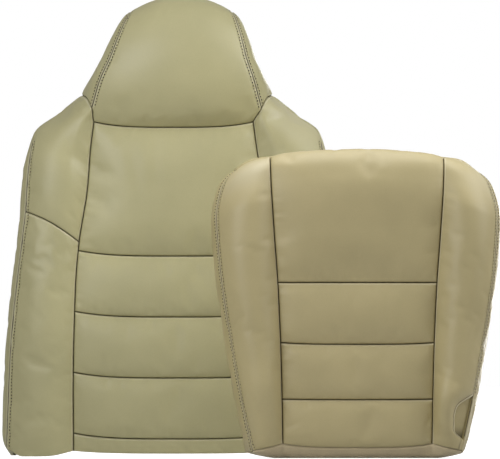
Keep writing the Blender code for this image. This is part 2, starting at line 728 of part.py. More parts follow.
def build_rear_panel():
    """The flat rear panel, slotted from its hem for the two zips."""
    hem_half = REAR_SEAM[0][0] - REAR_CORNER_CUT
    hem = np.array([(-hem_half, 0, REAR_HEM_LIFT), (hem_half, 0, REAR_HEM_LIFT)])
    outline = np.concatenate([hem, REAR_SEAM, NECK_LINE[1:-1][::-1], mirrored(REAR_SEAM)[::-1]])
    outline = inset_outline(leaned(outline), SEAM_GAP / 2)
    outline[:2, 2] = REAR_HEM_LIFT
    bm = bmesh.new()
    bm.faces.new([bm.verts.new(to_object(p)) for p in outline])

    def flat_inward(point):
        step = into_back(point)
        return step / step[1]

    thicken(bm, VINYL_LAYER, flat_inward)
    obj = place(finish_mesh(bm, "rear_panel", smooth=False), VINYL, BACK)
    slots = [
        box_mesh(f"zip_slot_{i}", (ZIP_SLOT, 0.05, 2 * ZIP_TOP), (side * ZIP_FROM_MIDDLE, 0, 0))
        for i, side in enumerate((-1, 1))
    ]
    combine(obj, slots, "DIFFERENCE")


build_rear_panel()

# Back cover: listing sleeves, hook strips and zips

BACKWARDS = np.array((0, -1, 0))
SIDEWAYS = np.array((1, 0, 0))
UPWARDS = np.array((0, 0, 1))
LISTING_LEVELS = np.linspace(PLEAT_LEVELS[0] + 0.02, INSERT_TOP - 0.02, 9)


def build_back_listing(side, flip):
    path = flip(insert_seam(LISTING_LEVELS)) + LEATHER_LAYER * BACKWARDS
    listing(f"back_listing_{side}", path, SIDEWAYS, BACKWARDS, BACK)


both_sides(build_back_listing)
listing(
    "back_listing_cross",
    PLEAT_LINES[3][1:-1] + LEATHER_LAYER * BACKWARDS,
    UPWARDS,
    BACKWARDS,
    BACK,
)
hook_strip(
    "back_hook_front",
    HEM_LINE[1:-1] + (LEATHER_LAYER + FIT_GAP + HOOK_LAYER / 2) * BACKWARDS,
    BACKWARDS,
    UPWARDS,
    BACK,
)
REAR_HOOK_HALF = ZIP_FROM_MIDDLE - TAPE_WIDTH - HOOK_TO_ZIP
REAR_HOOK_DEPTH = VINYL_LAYER + FIT_GAP + HOOK_LAYER / 2
REAR_HOOK_PATH = np.array(
    [(x, REAR_HOOK_DEPTH, REAR_HEM_LIFT + HEM_LIFT / 4) for x in (-REAR_HOOK_HALF, REAR_HOOK_HALF)]
)
hook_strip("back_hook_rear", REAR_HOOK_PATH, -BACKWARDS, UPWARDS, BACK)


def tape_half(name, middle, way):
    """One half of a zip: a flat tape inside the rear panel, with the bead of its coil in the slot."""
    inner = VINYL_LAYER + FIT_GAP
    edge = BEAD_GAP / 2
    outline = [
        (edge, inner - BEAD_RISE),
        (edge + BEAD_WIDTH, inner - BEAD_RISE),
        (edge + BEAD_WIDTH, inner),
        (edge + TAPE_WIDTH, inner),
        (edge + TAPE_WIDTH, inner + TAPE_LAYER),
        (edge, inner + TAPE_LAYER),
    ]
    low, high = SLIDER_REST - SLIDER_LENGTH, ZIP_TOP - 2 * FIT_GAP
    bm = bmesh.new()
    bm.faces.new([bm.verts.new((middle + way * x, -f, low)) for x, f in outline])
    made = bmesh.ops.extrude_face_region(bm, geom=bm.faces[:], use_keep_orig=True)
    verts = [v for v in made["geom"] if isinstance(v, bmesh.types.BMVert)]
    bmesh.ops.translate(bm, vec=(0, 0, high - low), verts=verts)
    place(finish_mesh(bm, name, smooth=False), TAPE, BACK)


def build_zip(side, way):
    middle = way * ZIP_FROM_MIDDLE
    tape_half(f"zip_tape_inner_{side}", middle, -way)
    tape_half(f"zip_tape_outer_{side}", middle, way)
    bead_top = -(VINYL_LAYER + FIT_GAP - BEAD_RISE)
    outer_y = bead_top + FIT_GAP + SLIDER_PLATE / 2
    inner_y = -(VINYL_LAYER + 2 * FIT_GAP + TAPE_LAYER) - SLIDER_PLATE / 2
    pin_y = outer_y + SLIDER_PLATE / 2 + PIN_STAND
    plate_size = (SLIDER_WIDTH, SLIDER_PLATE, SLIDER_LENGTH)
    slider = box_mesh(f"zip_slider_{side}", plate_size, (0, outer_y, 0), SLIDER_CHAMFER)
    slider.location = (middle, 0, SLIDER_REST)
    place(slider, SLIDER_METAL, BACK)
    back_plate = box_mesh(f"slider_back_{side}", plate_size, (0, inner_y, 0), SLIDER_CHAMFER)
    bridge = box_mesh(
        f"slider_bridge_{side}",
        (BEAD_GAP - 2 * FIT_GAP, outer_y - inner_y, SLIDER_LENGTH * 0.5),
        (0, (outer_y + inner_y) / 2, SLIDER_LENGTH * 0.2),
    )
    ear_apart = PULL_WIDTH / 2 + FIT_GAP + EAR_LAYER / 2
    ears = [
        box_mesh(
            f"slider_ear_{side}_{i}",
            (EAR_LAYER, PIN_STAND + 2 * PIN_RADIUS, EAR_LENGTH),
            (way_out * ear_apart, outer_y + PIN_STAND / 2 + PIN_RADIUS, 0),
        )
        for i, way_out in enumerate((-1, 1))
    ]
    pin = rod_mesh(f"slider_pin_{side}", PIN_RADIUS, 2 * ear_apart, (0, pin_y, 0))
    helpers = [back_plate, bridge, *ears, pin]
    for helper in helpers:
        helper.location = slider.location
    combine(slider, helpers, "UNION")

    eye = rod_mesh(f"zip_pull_{side}", EYE_RADIUS, PULL_WIDTH, (0, 0, 0), 16)
    eye.location = (0, pin_y, 0)
    place(eye, SLIDER_METAL, slider)
    tab = box_mesh(
        f"pull_tab_{side}",
        (PULL_WIDTH, PULL_LAYER, PULL_LENGTH),
        (0, EYE_RADIUS - PULL_LAYER / 2 - PULL_CHAMFER / 2, -PULL_LENGTH / 2),
        PULL_CHAMFER,
    )
    bore = rod_mesh(f"pull_bore_{side}", PIN_RADIUS + EYE_BORE_GAP, 2 * PULL_WIDTH, (0, 0, 0))
    for helper in (tab, bore):
        helper.location = eye.location
    combine(eye, [tab], "UNION")
    combine(eye, [bore], "DIFFERENCE")


build_zip("right", 1)
build_zip("left", -1)

# Cushion cover: the seam between insert and bolster, from the rear over the front roll

SEAT_HEIGHTS = (SEAT_REAR_SEAM, SEAT_REAR_PLEAT, SEAT_MIDDLE_PLEAT, SEAT_FRONT_PLEAT, SEAT_FRONT_INSERT)
SEAT_LEVELS = np.cumsum(SEAT_HEIGHTS)
SEAT_FRONT = SEAT_LEVELS[4]
SEAT_INSERT_GROWTH = SEAT_INSERT_HALF_FRONT - SEAT_INSERT_HALF_REAR
SEAT_INSERT_KNOTS = (
    (SEAT_INSERT_HALF_REAR, SEAT_INSERT_DEPTH - 0.002, SEAT_LEVELS[0]),
    (SEAT_INSERT_HALF_REAR + 0.07 * SEAT_INSERT_GROWTH, SEAT_INSERT_DEPTH, SEAT_LEVELS[1]),
    (SEAT_INSERT_HALF_REAR + 0.19 * SEAT_INSERT_GROWTH, SEAT_INSERT_DEPTH, SEAT_LEVELS[2]),
    (SEAT_INSERT_HALF_REAR + 0.41 * SEAT_INSERT_GROWTH, SEAT_INSERT_DEPTH, SEAT_LEVELS[3]),
    (SEAT_INSERT_HALF_REAR + 0.71 * SEAT_INSERT_GROWTH, SEAT_INSERT_DEPTH + 0.002, SEAT_LEVELS[3] + 0.088),
    (SEAT_INSERT_HALF_FRONT - 0.001, SEAT_INSERT_DEPTH, SEAT_FRONT - 0.040),
    (SEAT_INSERT_HALF_FRONT, SEAT_INSERT_DEPTH - 0.010, SEAT_FRONT - 0.0095),
    (SEAT_INSERT_HALF_FRONT, SEAT_FRONT_DEPTH + 0.020, SEAT_FRONT + 0.0025),
    (SEAT_INSERT_HALF_FRONT, SEAT_FRONT_DEPTH, SEAT_FRONT),
)
SEAT_OUTER_KNOTS = (
    (SEAT_HALF_REAR, SEAT_GUSSET_DEPTH - 0.006, SEAT_REAR_SEAM / 2),
    (SEAT_HALF_REAR + 0.0200, SEAT_GUSSET_DEPTH, SEAT_LEVELS[1] + 0.006),
    (SEAT_HALF_REAR + 0.0367, SEAT_GUSSET_DEPTH + 0.001, SEAT_LEVELS[2] + 0.002),
    (SEAT_HALF_MIDDLE + 0.0008, SEAT_GUSSET_DEPTH + 0.002, SEAT_LEVELS[3]),
    (SEAT_HALF_FRONT - 0.0015, SEAT_GUSSET_DEPTH - 0.004, SEAT_LEVELS[3] + 0.083),
    (SEAT_HALF_FRONT, SEAT_GUSSET_DEPTH - 0.010, SEAT_LEVELS[3] + 0.112),
    (SEAT_HALF_FRONT - 0.0050, SEAT_GUSSET_DEPTH - 0.024, SEAT_FRONT - 0.068),
    (SEAT_HALF_FRONT - 0.0155, SEAT_GUSSET_DEPTH - 0.036, SEAT_FRONT - 0.039),
    (SEAT_HALF_CORNER, SEAT_FRONT_DEPTH - 0.008, SEAT_FRONT - 0.019),
)


def knot_run(knots, first, last, shares):
    """Points along a smooth curve through all the knots, between two of them."""
    knots = np.asarray(knots, float)
    steps = np.linalg.norm(np.diff(knots, axis=0), axis=1)
    along = np.concatenate([[0], np.cumsum(steps)])
    return spline(along, knots, between(along[first], along[last], shares))


SEAT_SHARES = (ALONG_NOTCH_PLEAT, ALONG_PLEAT, ALONG_PLEAT)
ROLL_SHARES = (0, 0.05, 0.22, 0.42, 0.6, 0.74, 0.84, 0.93, 1)
SEAT_RAILS = [knot_run(SEAT_INSERT_KNOTS, i, i + 1, shares) for i, shares in enumerate(SEAT_SHARES)]
SEAT_RAILS.append(knot_run(SEAT_INSERT_KNOTS, 3, 8, ROLL_SHARES))
SEAT_INNER = joined(*SEAT_RAILS)
SEAT_OUTER = joined(
    *[knot_run(SEAT_OUTER_KNOTS, i, i + 1, shares) for i, shares in enumerate(SEAT_SHARES)],
    knot_run(SEAT_OUTER_KNOTS, 3, 8, ROLL_SHARES),
)


def into_seat(points):
    half = np.interp(points[..., 2], SEAT_OUTER[:, 2], SEAT_OUTER[:, 0]) - CORE_MARGIN
    return toward_core(points, half, SEAT_CORE_DEPTHS, SEAT_CORE_LOW, SEAT_FRONT - CORE_MARGIN)


def seat_panel(name, grid, crown, power=(2.4, 2.4), free=(), peak=0.5):
    grid = swollen(grid, crown, into_seat, power, peak)
    return panel(name, grid, LEATHER_LAYER, into_seat, LEATHER, SEAT, free)


# Cushion cover: insert

SEAT_LINES = [
    insert_line(SEAT_RAILS[0][0], ACROSS_INSERT, SEAT_REAR_SAG, INSERT_BOW / 2),
    insert_line(SEAT_RAILS[1][0], ACROSS_INSERT, SEAT_REAR_SAG / 6, INSERT_BOW / 2),
    insert_line(SEAT_RAILS[2][0], ACROSS_INSERT, SEAT_REAR_SAG / 2, INSERT_BOW / 2),
    insert_line(SEAT_RAILS[3][0], ACROSS_INSERT, 0, INSERT_BOW / 2),
    insert_line(SEAT_RAILS[3][-1], ACROSS_INSERT, 0, 0),
]
SEAT_LINES[4][:, 2] += SEAT_FRONT_BOW * (1 - (2 * np.array(ACROSS_INSERT) - 1) ** 2)
SEAT_NAMES = ("seat_pleat_rear", "seat_pleat_middle", "seat_pleat_front", "seat_front_insert")
SEAT_CROWNS = (PLEAT_CROWN, PLEAT_CROWN, PLEAT_CROWN, SEAT_INSERT_CROWN)
for i, name in enumerate(SEAT_NAMES):
    rail = SEAT_RAILS[i]
    grid = patch(SEAT_LINES[i], SEAT_LINES[i + 1], mirrored(rail), rail)
    seat_panel(name, grid, SEAT_CROWNS[i], (6, 2.6))

# Cushion cover: bolsters, gussets, front boxing and rear strip

SEAT_BOLSTER_REAR = bolster_line(SEAT_INNER[0], SEAT_OUTER[0], ACROSS_BOLSTER, SEAT_BOLSTER_RISE * 0.6)
SEAT_FRONT_MIDDLE = (SEAT_INNER[-1] + SEAT_OUTER[-1]) / 2 + (0.004, 0, 0.005)
SEAT_BOLSTER_FRONT = curve_through((SEAT_INNER[-1], SEAT_FRONT_MIDDLE, SEAT_OUTER[-1]), ACROSS_BOLSTER)
NOTCH_STEP = np.zeros_like(SEAT_OUTER)
NOTCH_STEP[:NOTCH_ROWS] = np.outer(NOTCH_SHARE, (-1, 0.6, 0)) * NOTCH_WIDTH
SEAT_CUT_EDGE = SEAT_OUTER + NOTCH_STEP


def bolster_grid(outer):
    """The cushion bolster between its seams, rounded forwards along its whole length."""
    grid = patch(SEAT_BOLSTER_REAR, SEAT_BOLSTER_FRONT, SEAT_INNER, outer)
    v = shares_along(SEAT_OUTER)
    section = 1 - np.abs(2 * np.array(ACROSS_BOLSTER) - 1) ** 2.2
    fullness = np.clip(np.minimum(v, 1 - v) / BOLSTER_RUN_OUT, 0, 1) ** 0.7
    grid[..., 1] += SEAT_BOLSTER_RISE * np.outer(fullness, section)
    return grid


seat_panel("seat_bolster_right", bolster_grid(SEAT_CUT_EDGE), BOLSTER_CROWN * 0.7, (2.4, 4))
seat_panel("seat_bolster_left", mirrored(bolster_grid(SEAT_OUTER)), BOLSTER_CROWN * 0.7, (2.4, 4))

SEAT_HEM = SEAT_OUTER + (HEM_FLARE, 0, 0)
SEAT_HEM[:, 0] += HEM_FLARE * np.clip(1 - shares_along(SEAT_OUTER) * 2, 0, 1)
SEAT_HEM[:, 1] = 0
SEAT_HEM[0, 2] = STRIP_CORNER_LIFT
STRIP_EDGE = np.array(
    [
        SEAT_OUTER[0],
        (SEAT_OUTER[0][0] + 0.2 * HEM_FLARE, 0.82 * SEAT_GUSSET_DEPTH, STRIP_CORNER_LIFT),
        (SEAT_OUTER[0][0] + 0.8 * HEM_FLARE, 0.55 * SEAT_GUSSET_DEPTH, STRIP_CORNER_LIFT),
        (SEAT_OUTER[0][0] + 1.4 * HEM_FLARE, 0.25 * SEAT_GUSSET_DEPTH, STRIP_CORNER_LIFT),
        SEAT_HEM[0],
    ]
)
SEAT_CORNER_EDGE = curve_through((SEAT_OUTER[-1], SEAT_HEM[-1]), shares_along(STRIP_EDGE))

SEAT_GUSSET_GRID = patch(STRIP_EDGE, SEAT_CORNER_EDGE, SEAT_OUTER, SEAT_HEM)


def build_seat_gusset(side, flip):
    grid = flip(SEAT_GUSSET_GRID)
    seat_panel(f"seat_gusset_{side}", grid, SEAT_GUSSET_CROWN, (2, 8), ("right",), GUSSET_PEAK)


both_sides(build_seat_gusset)

FRONT_LINE = joined(mirrored(SEAT_BOLSTER_FRONT)[::-1], SEAT_LINES[4], SEAT_BOLSTER_FRONT)
FRONT_HEM = FRONT_LINE.copy()
FRONT_HEM[:, 0] *= SEAT_HEM[-1][0] / FRONT_LINE[-1][0]
FRONT_HEM[:, 1] = 0
seat_panel(
    "seat_front_boxing",
    patch(FRONT_LINE, FRONT_HEM, mirrored(SEAT_CORNER_EDGE), SEAT_CORNER_EDGE),
    BOXING_CROWN,
    (8, 2),
    ("top",),
)

REAR_LINE = joined(mirrored(SEAT_BOLSTER_REAR)[::-1], SEAT_LINES[0], SEAT_BOLSTER_REAR)
STRIP_GRID = np.empty((len(STRIP_EDGE), len(REAR_LINE), 3))
STRIP_REACH = np.abs(REAR_LINE[:, 0] / REAR_LINE[-1][0])
STRIP_FALL = (1, 0.3, 0, 0, 0)
STRIP_FLAT = 0.75
for row, edge in enumerate(STRIP_EDGE):
    stretch = (edge[0] / REAR_LINE[-1][0], edge[1] / REAR_LINE[-1][1], STRIP_FALL[row])
    STRIP_GRID[row] = stretch * REAR_LINE
    end_lift = edge[2] - STRIP_FALL[row] * REAR_LINE[-1][2]
    STRIP_GRID[row, :, 2] += end_lift * np.clip((STRIP_REACH - STRIP_FLAT) / (1 - STRIP_FLAT), 0, 1) ** 1.5
panel("rear_tuck_strip", STRIP_GRID, FABRIC_LAYER, into_seat, FABRIC, SEAT, ("top",))

# Cushion cover: notch binding, listing sleeves and hook strips

NOTCH_GRID = swollen(bolster_grid(SEAT_CUT_EDGE), BOLSTER_CROWN * 0.7, into_seat, (2.4, 4))
NOTCH_EDGE = NOTCH_GRID[:NOTCH_ROWS, -1]
NOTCH_INTO = into_seat(NOTCH_EDGE)
NOTCH_WALLS = np.cross(np.diff(NOTCH_EDGE, axis=0), NOTCH_INTO[1:])
NOTCH_WALLS /= np.linalg.norm(NOTCH_WALLS, axis=1, keepdims=True)
NOTCH_WALLS *= np.sign(NOTCH_WALLS[:, :1])
NOTCH_RIM = NOTCH_EDGE + LEATHER_LAYER / 2 * NOTCH_INTO
for i in range(1, NOTCH_ROWS - 1):
    corner = NOTCH_WALLS[i - 1] + NOTCH_WALLS[i]
    stretch = 1 + NOTCH_WALLS[i - 1] @ NOTCH_WALLS[i]
    NOTCH_RIM[i] += corner / stretch * (BINDING_RADIUS + FIT_GAP)

LINING_GUSSET = swollen(SEAT_GUSSET_GRID, SEAT_GUSSET_CROWN, into_seat, (2, 8), GUSSET_PEAK)
LINING_SEAT = LEATHER_LAYER + FIT_GAP
LINING_RUNS = (
    (NOTCH_GRID[:, 3], LINING_SEAT),
    (NOTCH_GRID[:, -1], LINING_SEAT + LINING_SINK),
    (SEAT_OUTER, LINING_SEAT + LINING_SINK),
    (LINING_GUSSET[:, 2], LINING_SEAT),
)
LINING_GRID = np.stack(
    [(wall + depth * into_seat(wall))[:NOTCH_ROWS] for wall, depth in LINING_RUNS], axis=1
)
ALL_EDGES = ("left", "right", "bottom", "top")
panel("notch_lining", LINING_GRID, LINING_LAYER, into_seat, LEATHER, SEAT, ALL_EDGES)


def notch_point(station):
    """A point on the notch rim, at a whole or broken count of its rows."""
    row = int(station)
    return NOTCH_RIM[row] + (station - row) * (NOTCH_RIM[row + 1] - NOTCH_RIM[row])


wire("notch_binding", [notch_point(s) for s in (1.6, 2, 3, 4, 5, 5.2)], BINDING_RADIUS, LEATHER, SEAT)


def build_seat_listing(side, flip):
    path = flip(SEAT_INNER[LISTING_STATIONS]) + LEATHER_LAYER * BACKWARDS
    listing(f"seat_listing_{side}", path, SIDEWAYS, BACKWARDS, SEAT)


both_sides(build_seat_listing)
CROSS_PATH = SEAT_LINES[3][1:-1] + LEATHER_LAYER * BACKWARDS
listing("seat_listing_cross", CROSS_PATH, UPWARDS, BACKWARDS, SEAT)


def hem_path(line, layer):
    """The line along which a hook strip lies against the inside of a hem."""
    return line + (layer + FIT_GAP + HOOK_LAYER / 2) * into_seat(line)


def build_seat_hook(side, flip):
    path = hem_path(SEAT_HEM[HOOK_STATIONS], LEATHER_LAYER)
    hook_strip(f"seat_hook_{side}", flip(path), flip(-SIDEWAYS), -BACKWARDS, SEAT)


both_sides(build_seat_hook)
FRONT_HOOK_PATH = hem_path(FRONT_HEM[INSERT_STATIONS], LEATHER_LAYER)
REAR_EDGE_PATH = hem_path(STRIP_GRID[-1][INSERT_STATIONS], FABRIC_LAYER)
hook_strip("seat_hook_front", FRONT_HOOK_PATH, -UPWARDS, -BACKWARDS, SEAT)
hook_strip("seat_hook_rear", REAR_EDGE_PATH, UPWARDS, -BACKWARDS, SEAT)


def centre_the_set():
    """Moves the whole set so that the middle of its box stands over the origin."""
    bpy.context.view_layer.update()
    graph = bpy.context.evaluated_depsgraph_get()
    corners = []
    for obj in PARTS.objects:
        if obj.type != "EMPTY":
            solid = obj.evaluated_get(graph)
            mesh = solid.to_mesh()
            points = np.empty(len(mesh.vertices) * 3)
            mesh.vertices.foreach_get("co", points)
            world = np.array(obj.matrix_world)
            points = points.reshape(-1, 3) @ world[:3, :3].T + world[:3, 3]
            corners += [points.min(axis=0), points.max(axis=0)]
            solid.to_mesh_clear()
    low, high = np.min(corners, axis=0), np.max(corners, axis=0)
    SET.location = (-(low[0] + high[0]) / 2, -(low[1] + high[1]) / 2, -low[2])
    bpy.context.view_layer.update()


centre_the_set()
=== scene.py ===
"""Seat cover set: the leather, stitching, zips and stage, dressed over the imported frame.

In a cover's own frame x runs to the right, f forwards out of the cover and z up. Lengths are metres.
"""

import json
import math
from dataclasses import dataclass, field

import bpy
import numpy as np
from bpy.props import FloatProperty, FloatVectorProperty, IntProperty, PointerProperty
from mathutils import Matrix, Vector

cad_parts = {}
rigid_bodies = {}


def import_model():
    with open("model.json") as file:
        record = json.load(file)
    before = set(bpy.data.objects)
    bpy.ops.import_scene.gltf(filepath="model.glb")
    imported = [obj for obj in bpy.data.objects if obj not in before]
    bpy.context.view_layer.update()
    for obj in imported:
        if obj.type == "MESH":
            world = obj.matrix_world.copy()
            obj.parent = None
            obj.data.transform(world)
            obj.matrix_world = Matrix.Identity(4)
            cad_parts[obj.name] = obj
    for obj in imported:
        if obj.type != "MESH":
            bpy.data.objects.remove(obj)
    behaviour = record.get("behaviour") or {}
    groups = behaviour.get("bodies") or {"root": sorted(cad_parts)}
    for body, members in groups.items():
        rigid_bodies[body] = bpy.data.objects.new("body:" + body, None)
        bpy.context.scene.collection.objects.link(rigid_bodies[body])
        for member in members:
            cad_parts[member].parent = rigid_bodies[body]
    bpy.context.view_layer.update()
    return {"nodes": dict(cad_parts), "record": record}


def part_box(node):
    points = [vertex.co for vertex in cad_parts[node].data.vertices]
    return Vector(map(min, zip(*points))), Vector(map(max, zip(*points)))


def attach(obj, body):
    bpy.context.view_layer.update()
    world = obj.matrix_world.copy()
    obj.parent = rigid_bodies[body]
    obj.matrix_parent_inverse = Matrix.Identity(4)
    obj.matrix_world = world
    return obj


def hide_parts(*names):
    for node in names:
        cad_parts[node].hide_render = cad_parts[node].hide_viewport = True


bl_info = {
    "name": "Seat cover set",
    "version": (1, 0, 0),
    "blender": (4, 5, 0),
    "location": "View3D > Sidebar > Seat covers",
    "description": "Dresses a two-piece leather seat cover set over its packed frame",
    "category": "Object",
}

for startup_object in list(bpy.data.objects):
    bpy.data.objects.remove(startup_object)

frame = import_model()

# Layers and gaps
LEATHER_LAYER = 0.0060
VINYL_LAYER = 0.0040
FABRIC_LAYER = 0.0030
SLEEVE_LAYER = 0.0008
LINING_LAYER = 0.0012
FIT_GAP = 0.0004

# Back cover: heights from the hem upwards
BAND_HEIGHT = 0.0406
PLEAT_HEIGHT = 0.1065
UPPER_INSERT_HEIGHT = 0.2259
HEAD_HEIGHT = 0.2120
HEM_LIFT = 0.0095
HEM_CORNER_LIFT = HEM_LIFT * 1.5
SHOULDER_SEAM_STEP = 0.0149
SHOULDER_SEAM_RISE = 0.0530
SHOULDER_DROP = 0.0310
NECK_RISE = 0.0480
SEAM_SAG = 0.0100
HEAD_TOP_BOW = 0.0110

# Back cover: half widths and depths
INSERT_HALF_HEM = 0.1810
INSERT_HALF_WAIST = 0.1710
INSERT_HALF_TOP = 0.1400
BACK_HALF_HEM = 0.2985
BACK_HALF_WAIST = 0.2652
BACK_HALF_CORNER = 0.2512
NECK_HALF = 0.1680
HEAD_HALF_TOP = 0.0968
HEAD_LEAN = 0.0080
CHIN_LEAN = 0.0055
GUSSET_DEPTH = 0.0860
INSERT_DEPTH = 0.0900
LUMBAR_RISE = 0.0140
NECK_DEPTH = 0.0500
HEAD_DEPTH = 0.1080
BOLSTER_RISE = 0.0180
INSERT_BOW = 0.0060
REAR_SEAM_TUCK = 0.0040
REAR_CORNER_CUT = 0.0250
REAR_HEM_LIFT = 0.0120

# Cushion cover: heights as it stands on its rear edge, half widths and depths
SEAT_REAR_SEAM = 0.0240
SEAT_REAR_PLEAT = 0.0780
SEAT_MIDDLE_PLEAT = 0.0970
SEAT_FRONT_PLEAT = 0.1030
SEAT_FRONT_INSERT = 0.2140
SEAT_FRONT_BOW = 0.0090
SEAT_REAR_SAG = 0.0060
SEAT_INSERT_HALF_REAR = 0.1285
SEAT_INSERT_HALF_FRONT = 0.1495
SEAT_HALF_REAR = 0.1800
SEAT_HALF_MIDDLE = 0.2320
SEAT_HALF_FRONT = 0.2420
SEAT_HALF_CORNER = 0.2070
SEAT_GUSSET_DEPTH = 0.1000
SEAT_INSERT_DEPTH = 0.1100
SEAT_FRONT_DEPTH = 0.0620
SEAT_BOLSTER_RISE = 0.0240
HEM_FLARE = 0.0050
NOTCH_WIDTH = 0.0270
STRIP_CORNER_LIFT = 0.0090
LINING_SINK = 0.0060

# Pillow crowns: how far each panel swells above its seams
HEAD_CROWN = 0.0210
HEAD_SIDE_CROWN = 0.0070
SHOULDER_CROWN = 0.0080
BOLSTER_CROWN = 0.0060
UPPER_INSERT_CROWN = 0.0140
PLEAT_CROWN = 0.0090
BAND_CROWN = 0.0020
GUSSET_CROWN = 0.0105
GUSSET_PEAK = 0.28
GUSSET_FADE = ((0, 0.74, 0.83, 1), (1, 1, 0.25, 0.25))
SEAT_BOLSTER_CROWN = BOLSTER_CROWN * 0.7
SEAT_GUSSET_CROWN = 0.0045
BOXING_CROWN = 0.0040
REAR_HEAD_CROWN = 0.0060
SEAT_INSERT_CROWN = 0.0100

# How square those crowns are across and along a panel, and how round the bolsters and sagging seams are
PANEL_POWER = (2.4, 2.4)
BOLSTER_POWER = (2.4, 4)
HEAD_POWER = (2.2, 6)
BACK_PLEAT_POWER = (6, 6)
SEAT_PLEAT_POWER = (6, 5)
GUSSET_POWER = (2, 24)
SEAT_GUSSET_POWER = (2, 8)
BOXING_POWER = (8, 2)
BOLSTER_ROUND = 2.2
SAG_ROUND = 3.6

# Binding of the side opening: the shares over which its ends taper, and the share of its rise left there
BINDING_TAPER = (0.08, 0.12)
BINDING_LEAST = 0.35

# Listing sleeves: their section, their ripples as height, length and turn, and where they end
WIRE_RADIUS = 0.0014
SLEEVE_RADIUS = WIRE_RADIUS + FIT_GAP + SLEEVE_LAYER / 2
SLEEVE_DROP = 0.0145
SLEEVE_SPACING = 0.0060
SLEEVE_RIPPLES = ((0.0003, 0.0110, 0), (0.0002, 0.0043, 1))
LISTING_MARGIN = 0.02
SEAT_LISTING_SPAN = (0.06, 0.80)
CROSS_LISTING_SPAN = (0.05, 0.95)

# Rear zips
ZIP_FROM_MIDDLE = 0.1850
ZIP_TOP = 0.2700
TAPE_WIDTH = 0.0140
TAPE_LAYER = 0.0008
BEAD_WIDTH = 0.0026
BEAD_RISE = 0.0030
BEAD_GAP = 0.0018
BEAD_TO_SLOT = 0.0013
ZIP_SLOT = BEAD_GAP + 2 * BEAD_WIDTH + 2 * BEAD_TO_SLOT
SLIDER_REST = 0.0420
SLIDER_LENGTH = 0.0150
TOOTH_PITCH = 0.0022
ZIP_ROW_OFFSET = 0.0035

# Rear panel: its slack waves, the depth and radius of its rolled edge, the width of the painted shade along
# that edge, and its row over the hem
REAR_WAVE = 0.0009
REAR_ROLL = (0.0020, 0.0030)
REAR_SHADE = 0.0016
HEM_ROW_OFFSET = 0.0075

# Rear tuck strip: depth and radius where its seam and its sides turn in, and the least cloth under them
TUCK_SEAM_ROLL = (0.0048, 0.0040)
TUCK_SIDE_ROLL = (0.0015, 0.0020)
TUCK_LEAST = 0.0005

# How the two covers stand
SEAT_SIDEWAYS = 0.3100
SEAT_STAND_OFF = 0.0560
BOLSTER_REACH = (GUSSET_DEPTH + INSERT_DEPTH + LUMBAR_RISE) / 2 + BOLSTER_RISE + BOLSTER_CROWN
SEAT_AHEAD = BOLSTER_REACH + SEAT_STAND_OFF
SEAT_TURN = math.radians(1.5)

# The back cover's own middle and rear face, read from the frame
BAND_LOW, BAND_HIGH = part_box("hem_band")
BACK_X = (BAND_LOW.x + BAND_HIGH.x) / 2
BACK_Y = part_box("rear_panel")[1].y

# Stage: the lamps' aims, width and spreads, and the floor's size, its bounced light and its shown grey
BACK_AIM = (0.06, 0.62)
SEAT_AIM = (-0.08, 0.30)
LAMP_WIDTH = 1.2
NARROW_SPREAD = math.radians(50)
WIDE_SPREAD = math.radians(150)
FLOOR_HALF = 15.0
FLOOR_LEVEL = -0.0003
FLOOR_BOUNCE = (0.48, 0.48, 0.48, 1)
FLOOR_SHOWN = (0.4, 0.4, 0.4, 1)

# The core that each cover's layers are pushed towards
CORE_MARGIN = 0.06
CORE_LEAST_HALF = 0.02
BACK_CORE_DEPTHS = (0.025, 0.060)
SEAT_CORE_DEPTHS = (0.0, 0.050)
SEAT_CORE_LOW = 0.060

# Spacing of the points along seam lines and over panels
SEAM_POINTS = 121
SETTLE_SPACING = 0.0085
SETTLE_WANDER = 0.0003
PANEL_SPACING = 0.0042
EDGE_MARKS = np.array((0, 0.0004, 0.0009, 0.0016, 0.0025, 0.0037, 0.0050, 0.0060, 0.0070, 0.0082, 0.0100))
EDGE_MARK_SHARE = 0.3

# Sewing: the share of an edge before and after the place where one kind turns into the next
KIND_FADE = (0.020, 0.005)

# Painted shade of a turned edge, a row of stitches and the side of a binding, where that of a seam is 1
TURNED_SHADE = 0.15
ROW_SHADE = 0.2
BINDING_SHADE = 0.6

# Gathers: height, length and turn of the waves that make them uneven, and where they start from a seam
GATHER_WANDER = ((0.0040, 0.0310, 1), (0.0030, 0.0147, 2))
GATHER_SWELL = 0.0470
GATHER_START = 0.0030

# Creases: the share that their lips stand up, and their distance in widths
LIP_SHARE = 0.45
LIP_OFFSET = 2.1

# Stitches: how far they and the dark discs of painted shade at their holes stand over the leather, and how
# much longer than wide those discs are
HOLE_PROUD = 0.0004
HOLE_STRETCH = 1.4
THREAD_PROUD = 0.0003

# How far ahead and to the side the direction of a row of stitches is read
STITCH_PROBE = 0.0010
ROW_PROBE = 0.0015

RANDOM = np.random.default_rng(7)


def linear(red, green, blue):
    """A colour given as it looks on screen, from 0 to 255, as the scene's own linear colour."""
    shares = np.array((red, green, blue)) / 255
    low = shares / 12.92
    high = ((shares + 0.055) / 1.055) ** 2.4
    return tuple(np.where(shares <= 0.04045, low, high))


def length_value(name, description, default):
    return FloatProperty(name=name, description=description, default=default, unit="LENGTH", precision=5)


def colour_value(name, description, screen_colour):
    colour = linear(*screen_colour)
    return FloatVectorProperty(
        name=name, description=description, default=colour, subtype="COLOR", min=0, max=1
    )


def power_value(name, description, default):
    return FloatProperty(name=name, description=description, default=default, unit="POWER")


